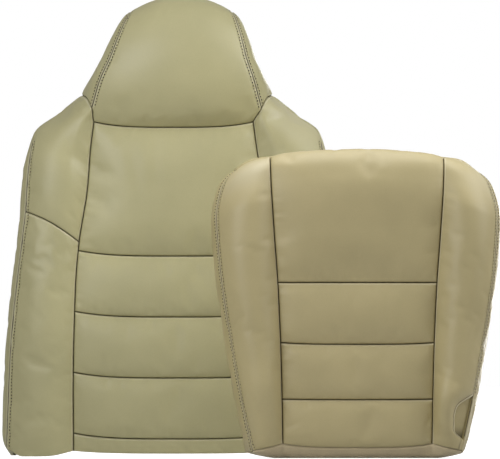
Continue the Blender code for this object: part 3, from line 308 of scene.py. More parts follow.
class SeamSizes(bpy.types.PropertyGroup):
    """How the panels are rolled into their seams and stitched, and how far shade and highlights are painted
    beside the seams.
    """

    seam_depth: length_value("Seam depth", "How deep a plain seam sinks between its panels", 0.0048)
    seam_roll: length_value("Seam roll", "How far from a plain seam its panel starts to turn in", 0.0038)
    # Painted shade: how far a near-black painted into the leather reaches beside a seam, narrower over an
    # edge that catches the light
    seam_shade: length_value("Seam shade", "How far the dark of a seam reaches over its panel", 0.0015)
    lit_shade: length_value("Lit seam shade", "The same over an edge that catches the light", 0.0005)
    lap_depth: length_value("Lap depth", "How deep a double-stitched seam sinks", 0.0020)
    lap_roll: length_value("Lap roll", "How far from a double-stitched seam its panel turns in", 0.0022)
    # Painted shade beside a double-stitched seam
    lap_shade: length_value("Lap shade", "How far the dark of a double-stitched seam reaches", 0.0012)
    hem_roll: length_value("Hem roll", "Radius to which a free hem is turned in", 0.0020)
    head_row: length_value("Head row offset", "From a seam of the head to its row of stitches", 0.0050)
    side_row: length_value("Side row offset", "The same down the sides of both covers", 0.0070)
    row_depth: length_value("Row depth", "How deep a row of stitches pulls the leather in", 0.0005)
    row_width: length_value("Row width", "Half the width of the hollow that a row of stitches pulls", 0.0012)
    stitch_pitch: length_value("Stitch pitch", "Distance from one stitch to the next", 0.0056)
    stitch_length: length_value("Stitch length", "Length of the thread that shows", 0.0030)
    thread_radius: length_value("Thread radius", "Radius of the sewing thread", 0.0005)
    # Each needle hole is drawn as a flat dark disc of painted shade, of this half width across its row
    hole_radius: length_value("Hole radius", "Half the width of the dimple at each needle hole", 0.0013)
    binding_width: length_value("Binding width", "Width of the strip that binds the side opening", 0.0120)
    binding_rise: length_value("Binding rise", "How far that strip stands over its panel", 0.0011)
    # Painted highlight: a pale band painted on the ridge beside a seam, at this offset and half width
    highlight_offset: length_value("Highlight offset", "Distance from a seam to the polished ridge beside it", 0.0023)
    highlight_width: length_value("Highlight width", "Half the width of that ridge", 0.0011)
    pucker_depth: length_value("Pucker depth", "How deep the leather gathers beside a seam", 0.0009)
    pucker_pitch: length_value("Pucker pitch", "Distance from one gather to the next", 0.0120)
    pucker_reach: length_value("Pucker reach", "How far from its seam a gather fades", 0.0100)


class SettleSizes(bpy.types.PropertyGroup):
    """How the leather settles over its filling."""

    slack: FloatProperty(
        name="Slack",
        description="Share by which the leather is cut larger than its filling",
        default=0.006,
        subtype="FACTOR",
    )
    pressure: FloatProperty(name="Pressure", description="Push of the filling on the leather", default=2.0)
    frames: IntProperty(name="Frames", description="Steps for which the leather settles", default=20)
    most_move: length_value("Most movement", "The furthest that a point of the leather may settle", 0.0060)


class FinishColours(bpy.types.PropertyGroup):
    """The colours of the materials."""

    leather: colour_value("Leather", "Main colour of the back cover's leather", (177, 171, 129))
    cushion: colour_value("Cushion leather", "Main colour of the cushion cover's leather", (178, 165, 122))
    # Painted highlight: the pale colour mixed in along lit seam edges, over binding strips and on patches of
    # the bolster tops and right shoulder, standing in for sheen
    painted_highlight: colour_value("Painted Highlight", "Colour of leather that is polished by use", (228, 221, 196))
    # Painted shade: the near-black mixed into the leather deep in and beside the seams, standing in for their
    # shadow
    seam: colour_value("Seam", "Colour deep in the seams", (46, 37, 14))
    thread: colour_value("Thread", "Colour of the sewing thread", (192, 182, 136))
    # Painted shade: the colour of the dark discs at the needle holes
    hole: colour_value("Needle hole", "Colour in the needle holes", (38, 30, 10))
    vinyl: colour_value("Vinyl", "Colour of the rear panels", (158, 149, 116))
    backing: colour_value("Backing", "Colour of the scrim on the inside", (196, 190, 174))
    fabric: colour_value("Fabric", "Colour of the rear tuck strip", (206, 190, 154))
    sleeve: colour_value("Sleeve", "Colour of the listing sleeves", (214, 212, 205))
    steel: colour_value("Steel", "Colour of the listing wires", (188, 188, 190))
    plastic: colour_value("Plastic", "Colour of the hook strips and zip teeth", (46, 45, 43))
    tape: colour_value("Tape", "Colour of the zip tapes", (66, 62, 54))
    slider: colour_value("Slider", "Colour of the zip sliders", (150, 146, 138))


class StageSizes(bpy.types.PropertyGroup):
    """The camera and the light."""

    camera_distance: length_value("Camera distance", "From the camera to the middle of the set", 10.0)
    camera_height: length_value("Camera height", "Height of the camera over the floor", 0.2)
    aim_height: length_value("Aim height", "Height that the camera looks at", 0.397)
    aim_depth: length_value("Aim depth", "Distance behind the origin that the camera looks at", 0.06)
    frame_width: length_value("Frame width", "Width of the picture at the camera's aim", 0.875)
    aim_side: length_value("Aim side", "Distance to the right of the origin that the camera looks at", 0.0019)
    ambient: FloatProperty(name="Ambient", description="Strength of the soft light all round", default=0.34)
    back_key: power_value("Back key", "Power of the back cover's main lamp", 2.0)
    back_fill: power_value("Back fill", "Power of the back cover's filling lamp", 2.2)
    back_top: power_value("Back top", "Power of the back cover's top lamp", 1.2)
    seat_key: power_value("Cushion key", "Power of the cushion cover's main lamp", 6.8)
    seat_fill: power_value("Cushion fill", "Power of the cushion cover's filling lamp", 8.2)
    seat_top: power_value("Cushion top", "Power of the cushion cover's top lamp", 7.4)
    rear: power_value("Rear", "Power of each cover's lamp behind it", 2.6)
    floor_glow: FloatProperty(name="Floor glow", description="How far the floor shows as white", default=0.92)


class SeatCoverSettings(bpy.types.PropertyGroup):
    """All the values of the seat cover set."""

    seams: PointerProperty(type=SeamSizes)
    settle: PointerProperty(type=SettleSizes)
    colours: PointerProperty(type=FinishColours)
    stage: PointerProperty(type=StageSizes)


# Curves and surfaces


def spline(knots, values, at):
    """A smooth curve through the values at the knots, read at the given places."""
    knots = np.asarray(knots, float)
    values = np.asarray(values, float)
    at = np.clip(np.asarray(at, float), knots[0], knots[-1])
    slopes = np.gradient(values, knots, axis=0)
    i = np.clip(np.searchsorted(knots, at) - 1, 0, len(knots) - 2)
    span = (knots[i + 1] - knots[i])[..., None]
    t = (at - knots[i])[..., None] / span
    start = values[i] * (2 * t**3 - 3 * t**2 + 1) + slopes[i] * span * (t**3 - 2 * t**2 + t)
    end = values[i + 1] * (3 * t**2 - 2 * t**3) + slopes[i + 1] * span * (t**3 - t**2)
    return start + end


EVENLY = np.linspace(0, 1, SEAM_POINTS)


def lengths_along(line):
    steps = np.linalg.norm(np.diff(line, axis=0), axis=1)
    return np.concatenate([[0], np.cumsum(steps)])


def length_of(line):
    return lengths_along(line)[-1]


def shares_along(line):
    return lengths_along(line) / length_of(line)


def curve_through(points, shares=EVENLY):
    """Points at the shares of the length of a smooth curve through the given points."""
    points = np.asarray(points, float)
    knots = lengths_along(points)
    return spline(knots, points, knots[-1] * np.asarray(shares, float))


def points_at(line, along, at):
    """Points at places on a line, where along says how far along it each of its own points lies."""
    return np.column_stack([np.interp(at, along, line[:, k]) for k in range(3)])


def at_shares(line, shares):
    """Points at the shares of a line's own length."""
    return points_at(line, shares_along(line), shares)


def unit(vectors):
    """The vectors made one long."""
    return vectors / np.maximum(np.linalg.norm(vectors, axis=-1, keepdims=True), 1e-12)


def joined(*runs):
    """Runs of points end to end, with each shared end kept once."""
    return np.concatenate([runs[0]] + [run[1:] for run in runs[1:]])


def mirrored(points):
    return np.asarray(points) * (-1, 1, 1)


def smooth_step(low, high, value):
    t = np.clip((value - low) / (high - low), 0, 1)
    return t * t * (3 - 2 * t)


def span_patch(bottom, top, left, right, across, along):
    """Grid of points spanned by four boundary lines, at shares across and along it."""
    u, v = np.asarray(across)[None, :, None], np.asarray(along)[:, None, None]
    low, high = at_shares(bottom, across), at_shares(top, across)
    start, end = at_shares(left, along), at_shares(right, along)
    sides = (1 - u) * start[:, None] + u * end[:, None]
    ends = (1 - v) * low[None] + v * high[None]
    low_corners = (1 - u) * (1 - v) * bottom[0] + u * (1 - v) * bottom[-1]
    return sides + ends - (low_corners + (1 - u) * v * top[0] + u * v * top[-1])


def crown_share(shares, peak, power):
    """How full a panel is at shares of its width, from its edges to the place where it swells most."""
    shares = np.asarray(shares, float)
    reach = np.where(shares < peak, 1 - shares / peak, (shares - peak) / (1 - peak))
    return 1 - reach**power


def grid_normals(grid):
    return np.cross(np.gradient(grid, axis=1), np.gradient(grid, axis=0))


def outward_normals(grid, toward):
    normal = unit(grid_normals(grid))
    return -normal if (normal * toward(grid)).sum() > 0 else normal


def edge_distances(grid):
    """Distance over the grid from each of its four edges."""
    across = np.linalg.norm(np.diff(grid, axis=1), axis=2)
    along = np.linalg.norm(np.diff(grid, axis=0), axis=2)
    left = np.concatenate([np.zeros((len(grid), 1)), np.cumsum(across, axis=1)], axis=1)
    bottom = np.concatenate([np.zeros((1, grid.shape[1])), np.cumsum(along, axis=0)], axis=0)
    return {"left": left, "right": left[:, -1:] - left, "bottom": bottom, "top": bottom[-1:] - bottom}


def panel_stations(length):
    """Shares of a length that lie close together near its two ends."""
    marks = EDGE_MARKS[EDGE_MARKS < EDGE_MARK_SHARE * length]
    last = marks[-1]
    middle = np.linspace(last, length - last, max(3, round((length - 2 * last) / PANEL_SPACING) + 1))
    return np.concatenate([marks[:-1], middle, length - marks[-2::-1]]) / length


def even_stations(length):
    return np.linspace(0, 1, max(5, round(length / SETTLE_SPACING) + 1))


def toward_core(points, half, depths, low, high):
    """Unit directions from points to the nearest place in a core well inside the cover."""
    core = np.array(points, float)
    core[..., 0] = np.clip(core[..., 0], -half, half)
    core[..., 1] = np.clip(core[..., 1], *depths)
    core[..., 2] = np.clip(core[..., 2], low, high)
    return unit(core - points)


# Back cover: seam lines

PLEAT_LEVELS = [BAND_HEIGHT + i * PLEAT_HEIGHT for i in range(4)]
YOKE_LEVEL = PLEAT_LEVELS[-1]
SHOULDER_SEAM_LEVEL = YOKE_LEVEL + SHOULDER_SEAM_STEP
INSERT_TOP = YOKE_LEVEL + UPPER_INSERT_HEIGHT
CORNER_LEVEL = INSERT_TOP - SHOULDER_DROP
NECK_LEVEL = INSERT_TOP + NECK_RISE
HEAD_TOP = INSERT_TOP + HEAD_HEIGHT
SIDE_SEAM_LEVEL = SHOULDER_SEAM_LEVEL + SHOULDER_SEAM_RISE

INSERT_KNOTS = (
    HEM_LIFT,
    PLEAT_LEVELS[1] + PLEAT_HEIGHT / 2,
    SHOULDER_SEAM_LEVEL,
    (SHOULDER_SEAM_LEVEL + INSERT_TOP) / 2,
    INSERT_TOP,
)
INSERT_SHAPE = (
    (INSERT_HALF_HEM, INSERT_DEPTH),
    (INSERT_HALF_HEM - 0.001, INSERT_DEPTH + LUMBAR_RISE),
    (INSERT_HALF_WAIST, INSERT_DEPTH + LUMBAR_RISE / 2),
    ((INSERT_HALF_WAIST + INSERT_HALF_TOP) / 2 - 0.002, INSERT_DEPTH + LUMBAR_RISE / 4),
    (INSERT_HALF_TOP, INSERT_DEPTH),
)


def insert_rail(low, high):
    """The right-hand seam between insert and bolster, between two heights."""
    levels = np.linspace(low, high, SEAM_POINTS)
    return np.column_stack([spline(INSERT_KNOTS, INSERT_SHAPE, levels), levels])


def bolster_line(inner, outer, rise, bow=0.0):
    """A line across a bolster that follows its rounded section."""
    s = EVENLY[:, None]
    line = (1 - s) * np.asarray(inner) + s * np.asarray(outer)
    line[:, 1] += rise * (1 - np.abs(2 * EVENLY - 1) ** BOLSTER_ROUND)
    line[:, 2] += bow * np.sin(np.pi * EVENLY)
    return line


def insert_line(end, sag, bow, arch=0.0):
    """A seam across an insert between two mirrored ends, sagging or arched towards its middle."""
    reach = 2 * EVENLY - 1
    depth = end[1] + bow * (1 - reach**2)
    level = end[2] - sag * (1 - np.abs(reach) ** SAG_ROUND) + arch * (1 - reach**2)
    return np.column_stack([end[0] * reach, depth, level])


OUTER_WAIST = (BACK_HALF_WAIST, GUSSET_DEPTH, SIDE_SEAM_LEVEL)
NECK_POINT = (NECK_HALF, NECK_DEPTH, NECK_LEVEL)
OUTER_LOWER = curve_through(
    (
        (BACK_HALF_HEM, GUSSET_DEPTH, HEM_CORNER_LIFT),
        (BACK_HALF_HEM * 0.72 + BACK_HALF_WAIST * 0.28, GUSSET_DEPTH + 0.003, SIDE_SEAM_LEVEL * 0.5),
        OUTER_WAIST,
    )
)
OUTER_UPPER = curve_through(
    (
        OUTER_WAIST,
        (BACK_HALF_WAIST - 0.004, GUSSET_DEPTH - 0.004, SIDE_SEAM_LEVEL + 0.066),
        (BACK_HALF_CORNER + 0.004, GUSSET_DEPTH - 0.012, CORNER_LEVEL - 0.014),
        (BACK_HALF_CORNER - 0.0025, GUSSET_DEPTH - 0.028, CORNER_LEVEL + 0.0135),
        ((BACK_HALF_CORNER + NECK_HALF) / 2 + 0.003, NECK_DEPTH, (CORNER_LEVEL + NECK_LEVEL) / 2 + 0.003),
        NECK_POINT,
    )
)
OUTER_SEAM = joined(OUTER_LOWER, OUTER_UPPER)
LOWER_RAIL = insert_rail(HEM_LIFT, SHOULDER_SEAM_LEVEL)
UPPER_RAIL = insert_rail(SHOULDER_SEAM_LEVEL, INSERT_TOP)

SHOULDER_SEAM = bolster_line(UPPER_RAIL[0], OUTER_WAIST, BOLSTER_RISE, 0.006)
BOLSTER_HEM = bolster_line(LOWER_RAIL[0], OUTER_LOWER[0], BOLSTER_RISE - 0.004)
HEM_SHARES = (0, 0.3, 0.55, 0.8, 1)
HEM_RISES = np.array((HEM_LIFT, 0.15 * HEM_LIFT, 0, 0.05 * HEM_LIFT, HEM_CORNER_LIFT))
BOLSTER_HEM[:, 2] = np.maximum(spline(HEM_SHARES, HEM_RISES[:, None], EVENLY)[:, 0], 0)

HEAD_CORNER = (INSERT_HALF_TOP + 0.009, INSERT_DEPTH + 0.008, INSERT_TOP + NECK_RISE / 2)
NECK_REAR = (NECK_HALF - REAR_SEAM_TUCK / 2, 0, NECK_LEVEL - REAR_SEAM_TUCK)
NECK_SEAM_FRONT = curve_through((UPPER_RAIL[-1], HEAD_CORNER))
NECK_SEAM_SIDE = curve_through(
    (
        HEAD_CORNER,
        ((HEAD_CORNER[0] + NECK_HALF) / 2 - 0.002, HEAD_CORNER[1] - 0.012, NECK_LEVEL - 0.010),
        NECK_POINT,
    )
)
NECK_SEAM_REAR = curve_through((NECK_POINT, NECK_REAR))
HEAD_SEAM = curve_through(
    (
        HEAD_CORNER,
        (HEAD_HALF_TOP + 0.037, HEAD_DEPTH, INSERT_TOP + 0.36 * HEAD_HEIGHT),
        (HEAD_HALF_TOP + 0.023, HEAD_DEPTH + 0.001, INSERT_TOP + 0.525 * HEAD_HEIGHT),
        (HEAD_HALF_TOP + 0.012, HEAD_DEPTH - 0.005, INSERT_TOP + 0.69 * HEAD_HEIGHT),
        (HEAD_HALF_TOP, HEAD_DEPTH - 0.022, HEAD_TOP - 0.033),
        (HEAD_HALF_TOP - 0.007, HEAD_DEPTH - 0.046, HEAD_TOP - 0.019),
        (HEAD_HALF_TOP - 0.010, HEAD_DEPTH - 0.075, HEAD_TOP - 0.018),
        (HEAD_HALF_TOP - 0.013, 0, HEAD_TOP - 0.028),
    )
)
HEAD_REAR_SEAM = curve_through(
    (
        NECK_REAR,
        (NECK_HALF - 0.036, 0, INSERT_TOP + 0.355 * HEAD_HEIGHT),
        (HEAD_HALF_TOP + 0.020, 0, INSERT_TOP + 0.53 * HEAD_HEIGHT),
        (HEAD_HALF_TOP + 0.010, 0, INSERT_TOP + 0.71 * HEAD_HEIGHT),
        (HEAD_HALF_TOP - 0.008, 0, HEAD_TOP - 0.036),
    )
)
HEAD_TOP_SEAM = insert_line(HEAD_SEAM[-1], 0, 0, HEAD_TOP_BOW)
CHIN_SEAM = insert_line(UPPER_RAIL[-1], SEAM_SAG, INSERT_BOW)
HEAD_RAIL = joined(NECK_SEAM_FRONT, HEAD_SEAM)
HEAD_SIDE_TOP = curve_through((HEAD_SEAM[-1], HEAD_REAR_SEAM[-1]))
NECK_LINE = insert_line(NECK_REAR, 0, 0)
REAR_HEAD_TOP = np.concatenate([mirrored(HEAD_REAR_SEAM[-1:]), HEAD_TOP_SEAM, HEAD_REAR_SEAM[-1:]])

REAR_SEAM = OUTER_SEAM - (REAR_SEAM_TUCK, 0, REAR_SEAM_TUCK / 2)
REAR_SEAM[:, 1] = 0
OUTER_SHARES = shares_along(OUTER_SEAM)
REAR_HEM_DROP = HEM_CORNER_LIFT - REAR_SEAM_TUCK / 2
REAR_SEAM[:, 2] -= REAR_HEM_DROP * np.clip(1 - OUTER_SHARES * 6, 0, 1)
REAR_SEAM += smooth_step(0.9, 1, OUTER_SHARES)[:, None] * (np.array(NECK_REAR) - REAR_SEAM[-1])
GUSSET_HEM = curve_through((OUTER_SEAM[0], REAR_SEAM[0]))

OUTLINE_LEVELS = np.concatenate([OUTER_SEAM[:, 2], HEAD_REAR_SEAM[1:, 2]])
OUTLINE_HALVES = np.concatenate([OUTER_SEAM[:, 0], HEAD_REAR_SEAM[1:, 0]])

HEM_LINE = insert_line(LOWER_RAIL[0], HEM_LIFT / 2, INSERT_BOW)
PLEAT_LINES = [insert_line(insert_rail(level, level)[0], SEAM_SAG, INSERT_BOW) for level in PLEAT_LEVELS]


def into_back(points):
    half = np.interp(points[..., 2], OUTLINE_LEVELS, OUTLINE_HALVES) - CORE_MARGIN
    half = np.maximum(half, CORE_LEAST_HALF)
    return toward_core(points, half, BACK_CORE_DEPTHS, -1, HEAD_TOP - CORE_MARGIN)


def leaned(points):
    """The points with the head moved to one side and the seam under its chin to the other."""
    side, level = np.abs(points[..., 0]), points[..., 2]
    head = smooth_step(NECK_LEVEL, HEAD_TOP, level)
    chin = smooth_step(SIDE_SEAM_LEVEL, CORNER_LEVEL, level) - smooth_step(INSERT_TOP, HEAD_CORNER[2], level)
    chin = chin * (1 - smooth_step(INSERT_HALF_TOP, BACK_HALF_CORNER, side))
    moved = np.array(points, float)
    moved[..., 0] += HEAD_LEAN * head - CHIN_LEAN * chin
    return moved


# Cushion cover: seam lines

SEAT_HEIGHTS = (SEAT_REAR_SEAM, SEAT_REAR_PLEAT, SEAT_MIDDLE_PLEAT, SEAT_FRONT_PLEAT, SEAT_FRONT_INSERT)
SEAT_LEVELS = np.cumsum(SEAT_HEIGHTS)
SEAT_FRONT = SEAT_LEVELS[4]
SEAT_INSERT_GROWTH = SEAT_INSERT_HALF_FRONT - SEAT_INSERT_HALF_REAR
SEAT_INSERT_KNOTS = (
    (SEAT_INSERT_HALF_REAR, SEAT_INSERT_DEPTH - 0.002, SEAT_LEVELS[0]),
    (SEAT_INSERT_HALF_REAR + 0.07 * SEAT_INSERT_GROWTH, SEAT_INSERT_DEPTH, SEAT_LEVELS[1]),
    (SEAT_INSERT_HALF_REAR + 0.19 * SEAT_INSERT_GROWTH, SEAT_INSERT_DEPTH, SEAT_LEVELS[2]),
    (SEAT_INSERT_HALF_REAR + 0.41 * SEAT_INSERT_GROWTH, SEAT_INSERT_DEPTH, SEAT_LEVELS[3]),
    (SEAT_INSERT_HALF_REAR + 0.71 * SEAT_INSERT_GROWTH, SEAT_INSERT_DEPTH + 0.002, SEAT_LEVELS[3] + 0.088),
    (SEAT_INSERT_HALF_FRONT - 0.001, SEAT_INSERT_DEPTH, SEAT_FRONT - 0.040),
    (SEAT_INSERT_HALF_FRONT, SEAT_INSERT_DEPTH - 0.010, SEAT_FRONT - 0.0095),
    (SEAT_INSERT_HALF_FRONT, SEAT_FRONT_DEPTH + 0.020, SEAT_FRONT + 0.0025),
    (SEAT_INSERT_HALF_FRONT, SEAT_FRONT_DEPTH, SEAT_FRONT),
)
SEAT_OUTER_KNOTS = (
    (SEAT_HALF_REAR, SEAT_GUSSET_DEPTH - 0.006, SEAT_REAR_SEAM / 2),
    (SEAT_HALF_REAR + 0.0200, SEAT_GUSSET_DEPTH, SEAT_LEVELS[1] + 0.006),
    (SEAT_HALF_REAR + 0.0367, SEAT_GUSSET_DEPTH + 0.001, SEAT_LEVELS[2] + 0.002),
    (SEAT_HALF_MIDDLE + 0.0008, SEAT_GUSSET_DEPTH + 0.002, SEAT_LEVELS[3]),
    (SEAT_HALF_FRONT - 0.0015, SEAT_GUSSET_DEPTH - 0.004, SEAT_LEVELS[3] + 0.083),
    (SEAT_HALF_FRONT, SEAT_GUSSET_DEPTH - 0.010, SEAT_LEVELS[3] + 0.112),
    (SEAT_HALF_FRONT - 0.0050, SEAT_GUSSET_DEPTH - 0.024, SEAT_FRONT - 0.068),
    (SEAT_HALF_FRONT - 0.0155, SEAT_GUSSET_DEPTH - 0.036, SEAT_FRONT - 0.039),
    (SEAT_HALF_CORNER, SEAT_FRONT_DEPTH - 0.008, SEAT_FRONT - 0.019),
)


def knot_run(knots, first, last):
    """Points along a smooth curve through all the knots, between two of them."""
    along = lengths_along(np.asarray(knots))
    return spline(along, knots, np.linspace(along[first], along[last], SEAM_POINTS))


# The runs of both seams, from knot to knot: one for each pleat, and one for the front insert
SEAT_RUN_ENDS = ((0, 1), (1, 2), (2, 3), (3, 8))
SEAT_RAILS = [knot_run(SEAT_INSERT_KNOTS, *ends) for ends in SEAT_RUN_ENDS]
SEAT_OUTER_RUNS = [knot_run(SEAT_OUTER_KNOTS, *ends) for ends in SEAT_RUN_ENDS]
SEAT_INNER, SEAT_OUTER = joined(*SEAT_RAILS), joined(*SEAT_OUTER_RUNS)
SEAT_LINES = [
    insert_line(SEAT_RAILS[0][0], SEAT_REAR_SAG, INSERT_BOW / 2),
    insert_line(SEAT_RAILS[1][0], SEAT_REAR_SAG / 6, INSERT_BOW / 2),
    insert_line(SEAT_RAILS[2][0], SEAT_REAR_SAG / 2, INSERT_BOW / 2),
    insert_line(SEAT_RAILS[3][0], 0, INSERT_BOW / 2),
    insert_line(SEAT_RAILS[3][-1], 0, 0, SEAT_FRONT_BOW),
]
SEAT_BOLSTER_REAR = bolster_line(SEAT_INNER[0], SEAT_OUTER[0], SEAT_BOLSTER_RISE * 0.6)
SEAT_FRONT_MIDDLE = (SEAT_INNER[-1] + SEAT_OUTER[-1]) / 2 + (0.004, 0, 0.005)
SEAT_BOLSTER_FRONT = curve_through((SEAT_INNER[-1], SEAT_FRONT_MIDDLE, SEAT_OUTER[-1]))

NOTCH_AT = (0, 0.2, 0.3, 0.48, 0.68, 0.84, 1)
NOTCH_SHARE = (0, 0, 0.6, 0.88, 1, 0.85, 0)
NOTCH_DEPTH = np.clip(spline(NOTCH_AT, np.array(NOTCH_SHARE)[:, None], EVENLY), 0, 1.02)
NOTCH_RUN = SEAT_OUTER_RUNS[0] + NOTCH_DEPTH * (-NOTCH_WIDTH, 0.6 * NOTCH_WIDTH, 0)
SEAT_CUT_EDGE = joined(NOTCH_RUN, *SEAT_OUTER_RUNS[1:])
NOTCH_END = length_of(NOTCH_RUN) / length_of(SEAT_CUT_EDGE)
OUTER_NOTCH_END = length_of(SEAT_OUTER_RUNS[0]) / length_of(SEAT_OUTER)

SEAT_HEM = SEAT_OUTER + (HEM_FLARE, 0, 0)
SEAT_HEM[:, 0] += HEM_FLARE * np.clip(1 - shares_along(SEAT_OUTER) * 2, 0, 1)
SEAT_HEM[:, 1] = 0
SEAT_HEM[:, 2] += (STRIP_CORNER_LIFT - SEAT_HEM[0, 2]) * (1 - smooth_step(0, 0.04, shares_along(SEAT_OUTER)))
STRIP_FLARES = ((0.2, 0.82), (0.8, 0.55), (1.4, 0.25))
STRIP_BENDS = [
    (SEAT_OUTER[0][0] + flare * HEM_FLARE, depth * SEAT_GUSSET_DEPTH, STRIP_CORNER_LIFT)
    for flare, depth in STRIP_FLARES
]
STRIP_EDGE_KNOTS = np.array([SEAT_OUTER[0], *STRIP_BENDS, SEAT_HEM[0]])
STRIP_EDGE = curve_through(STRIP_EDGE_KNOTS)
SEAT_CORNER_EDGE = curve_through((SEAT_OUTER[-1], SEAT_HEM[-1]))
FRONT_LINE = joined(mirrored(SEAT_BOLSTER_FRONT)[::-1], SEAT_LINES[4], SEAT_BOLSTER_FRONT)
FRONT_HEM = FRONT_LINE * (SEAT_HEM[-1][0] / FRONT_LINE[-1][0], 0, 1)
REAR_LINE = joined(mirrored(SEAT_BOLSTER_REAR)[::-1], SEAT_LINES[0], SEAT_BOLSTER_REAR)
BOLSTER_RUN_OUT = 0.2


def into_seat(points):
    half = np.interp(points[..., 2], SEAT_OUTER[:, 2], SEAT_OUTER[:, 0]) - CORE_MARGIN
    return toward_core(points, half, SEAT_CORE_DEPTHS, SEAT_CORE_LOW, SEAT_FRONT - CORE_MARGIN)


def seat_bolster_lift(across, along):
    """How far a cushion bolster is rounded forwards, over its width and length."""
    section = 1 - np.abs(2 * np.asarray(across) - 1) ** BOLSTER_ROUND
    fullness = np.clip(np.minimum(along, 1 - np.asarray(along)) / BOLSTER_RUN_OUT, 0, 1) ** 0.7
    return SEAT_BOLSTER_RISE * np.outer(fullness, section)


# The two covers in the row frame

SEAT_X = BACK_X + SEAT_SIDEWAYS
SEAT_Y = BACK_Y - SEAT_AHEAD


def back_to_row(points):
    x, f, z = np.moveaxis(np.asarray(points, float), -1, 0)
    return np.stack([BACK_X + x, BACK_Y - f, z], axis=-1)


def seat_to_row(points):
    x, f, z = np.moveaxis(np.asarray(points, float), -1, 0)
    cos, sin = math.cos(SEAT_TURN), math.sin(SEAT_TURN)
    return np.stack([SEAT_X + x * cos + f * sin, SEAT_Y + x * sin - f * cos, z], axis=-1)


# Above the corner of the shoulder its panel is turned over the edge without a row of stitches
CORNER_SHARE = float(np.interp(CORNER_LEVEL, OUTER_UPPER[:, 2], shares_along(OUTER_UPPER)))
OUTER_CORNER_SHARE = float(np.interp(CORNER_LEVEL, OUTER_SEAM[:, 2], OUTER_SHARES))

# Creases, listed one by one: both ends as shares of a panel's width and height, depth and width
CREASES = {
    "head_front": (
        ((0.05, 0.03), (0.15, 0.14), 0.0009, 0.0030),
        ((0.95, 0.04), (0.86, 0.13), 0.0008, 0.0030),
    ),
    "upper_insert": (
        ((0.03, 0.02), (0.20, 0.07), 0.0010, 0.0028),
        ((0.27, 0.86), (0.33, 0.46), 0.0008, 0.0085),
        ((0.39, 0.80), (0.42, 0.52), 0.0006, 0.0080),
        ((0.97, 0.03), (0.83, 0.06), 0.0008, 0.0028),
    ),
    "shoulder_left": (
        ((0.97, 0.12), (0.86, 0.17), 0.0009, 0.0026),
        ((0.98, 0.24), (0.85, 0.31), 0.0011, 0.0026),
        ((0.98, 0.37), (0.87, 0.43), 0.0009, 0.0024),
        ((0.98, 0.47), (0.84, 0.56), 0.0012, 0.0028),
        ((0.03, 0.66), (0.13, 0.72), 0.0010, 0.0028),
        ((0.03, 0.78), (0.12, 0.82), 0.0009, 0.0026),
    ),
    "shoulder_right": (
        ((0.98, 0.20), (0.86, 0.26), 0.0010, 0.0026),
        ((0.98, 0.42), (0.85, 0.50), 0.0011, 0.0028),
        ((0.03, 0.72), (0.13, 0.77), 0.0009, 0.0027),
    ),
    "side_bolster_left": (
        ((0.97, 0.42), (0.74, 0.50), 0.0012, 0.0034),
        ((0.98, 0.50), (0.80, 0.60), 0.0010, 0.0032),
        ((0.97, 0.80), (0.88, 0.84), 0.0009, 0.0026),
        ((0.04, 0.93), (0.16, 0.90), 0.0008, 0.0028),
    ),
    "side_bolster_right": (
        ((0.97, 0.38), (0.77, 0.46), 0.0011, 0.0034),
        ((0.98, 0.58), (0.82, 0.66), 0.0010, 0.0030),
    ),
    "seat_bolster_left": (
        ((0.50, 0.09), (0.84, 0.045), 0.0018, 0.0032),
        ((0.35, 0.03), (0.44, 0.07), 0.0009, 0.0026),
    ),
    "seat_pleat_rear": (
        ((0.04, 0.42), (0.21, 0.52), 0.0010, 0.0036),
        ((0.09, 0.30), (0.27, 0.36), 0.0008, 0.0036),
        ((0.97, 0.60), (0.86, 0.45), 0.0011, 0.0034),
    ),
    "seat_front_insert": (
        ((0.02, 0.05), (0.07, 0.02), 0.0008, 0.0022),
        ((0.98, 0.05), (0.93, 0.02), 0.0007, 0.0022),
    ),
}

# Patches of painted highlight, standing in for sheen: the middle and half size as shares of a panel's width
# and height, and the strength
PAINTED_HIGHLIGHT_PATCHES = {
    "seat_bolster_left": (((0.45, 0.92), (0.50, 0.060), 0.8),),
    "seat_bolster_right": (((0.80, 0.92), (0.40, 0.060), 0.6),),
    "shoulder_right": (((0.90, 0.80), (0.35, 0.300), 0.6),),
}


@dataclass
class Cut:
    """One cut panel: its four seams, its swelling, and how each of its edges is sewn."""

    node: str
    seams: tuple
    crown: float
    power: tuple = PANEL_POWER
    cover: str = "back_cover"
    layer: float = LEATHER_LAYER
    finish: str = "leather"
    lift: object = None
    flipped: bool = False
    edges: dict = field(default_factory=dict)
    rows: dict = field(default_factory=dict)
    peak: float = 0.5
    fade: tuple = ((0, 1), (1, 1))
    lit: tuple = ("top",)
    gathered: float = 1.0
    settled: tuple = None

    def __post_init__(self):
        self.edges = {edge: self.edges.get(edge, "sewn") for edge in ("bottom", "top", "left", "right")}
        self.on_back = self.cover == "back_cover"
        self.into = into_back if self.on_back else into_seat
        self.to_row = back_to_row if self.on_back else seat_to_row

    def width(self):
        return (length_of(self.seams[0]) + length_of(self.seams[1])) / 2

    def height(self):
        return (length_of(self.seams[2]) + length_of(self.seams[3])) / 2

    def row_offset(self, seams):
        return seams.head_row if self.node.startswith("head") else seams.side_row

    def surface(self, across, along):
        """The swollen panel as cut, at shares of its width and height."""
        grid = span_patch(*self.seams, across, along)
        if self.lift:
            grid[..., 1] += self.lift(across, along)
        rise_across = crown_share(across, self.peak, self.power[0])
        rise_along = crown_share(along, 0.5, self.power[1]) * np.interp(along, *self.fade)
        rise = self.crown * np.outer(rise_along, rise_across)
        grid = grid + rise[..., None] * outward_normals(grid, self.into)
        if self.flipped:
            grid = mirrored(grid)
        return leaned(grid) if self.on_back else grid


def both_sides(name, *shape, **more):
    """A cut for the right-hand side, and its mirror for the left."""
    return [Cut(f"{name}_right", *shape, **more), Cut(f"{name}_left", *shape, flipped=True, **more)]


NECK_SHARE = length_of(NECK_SEAM_FRONT) / length_of(HEAD_RAIL)


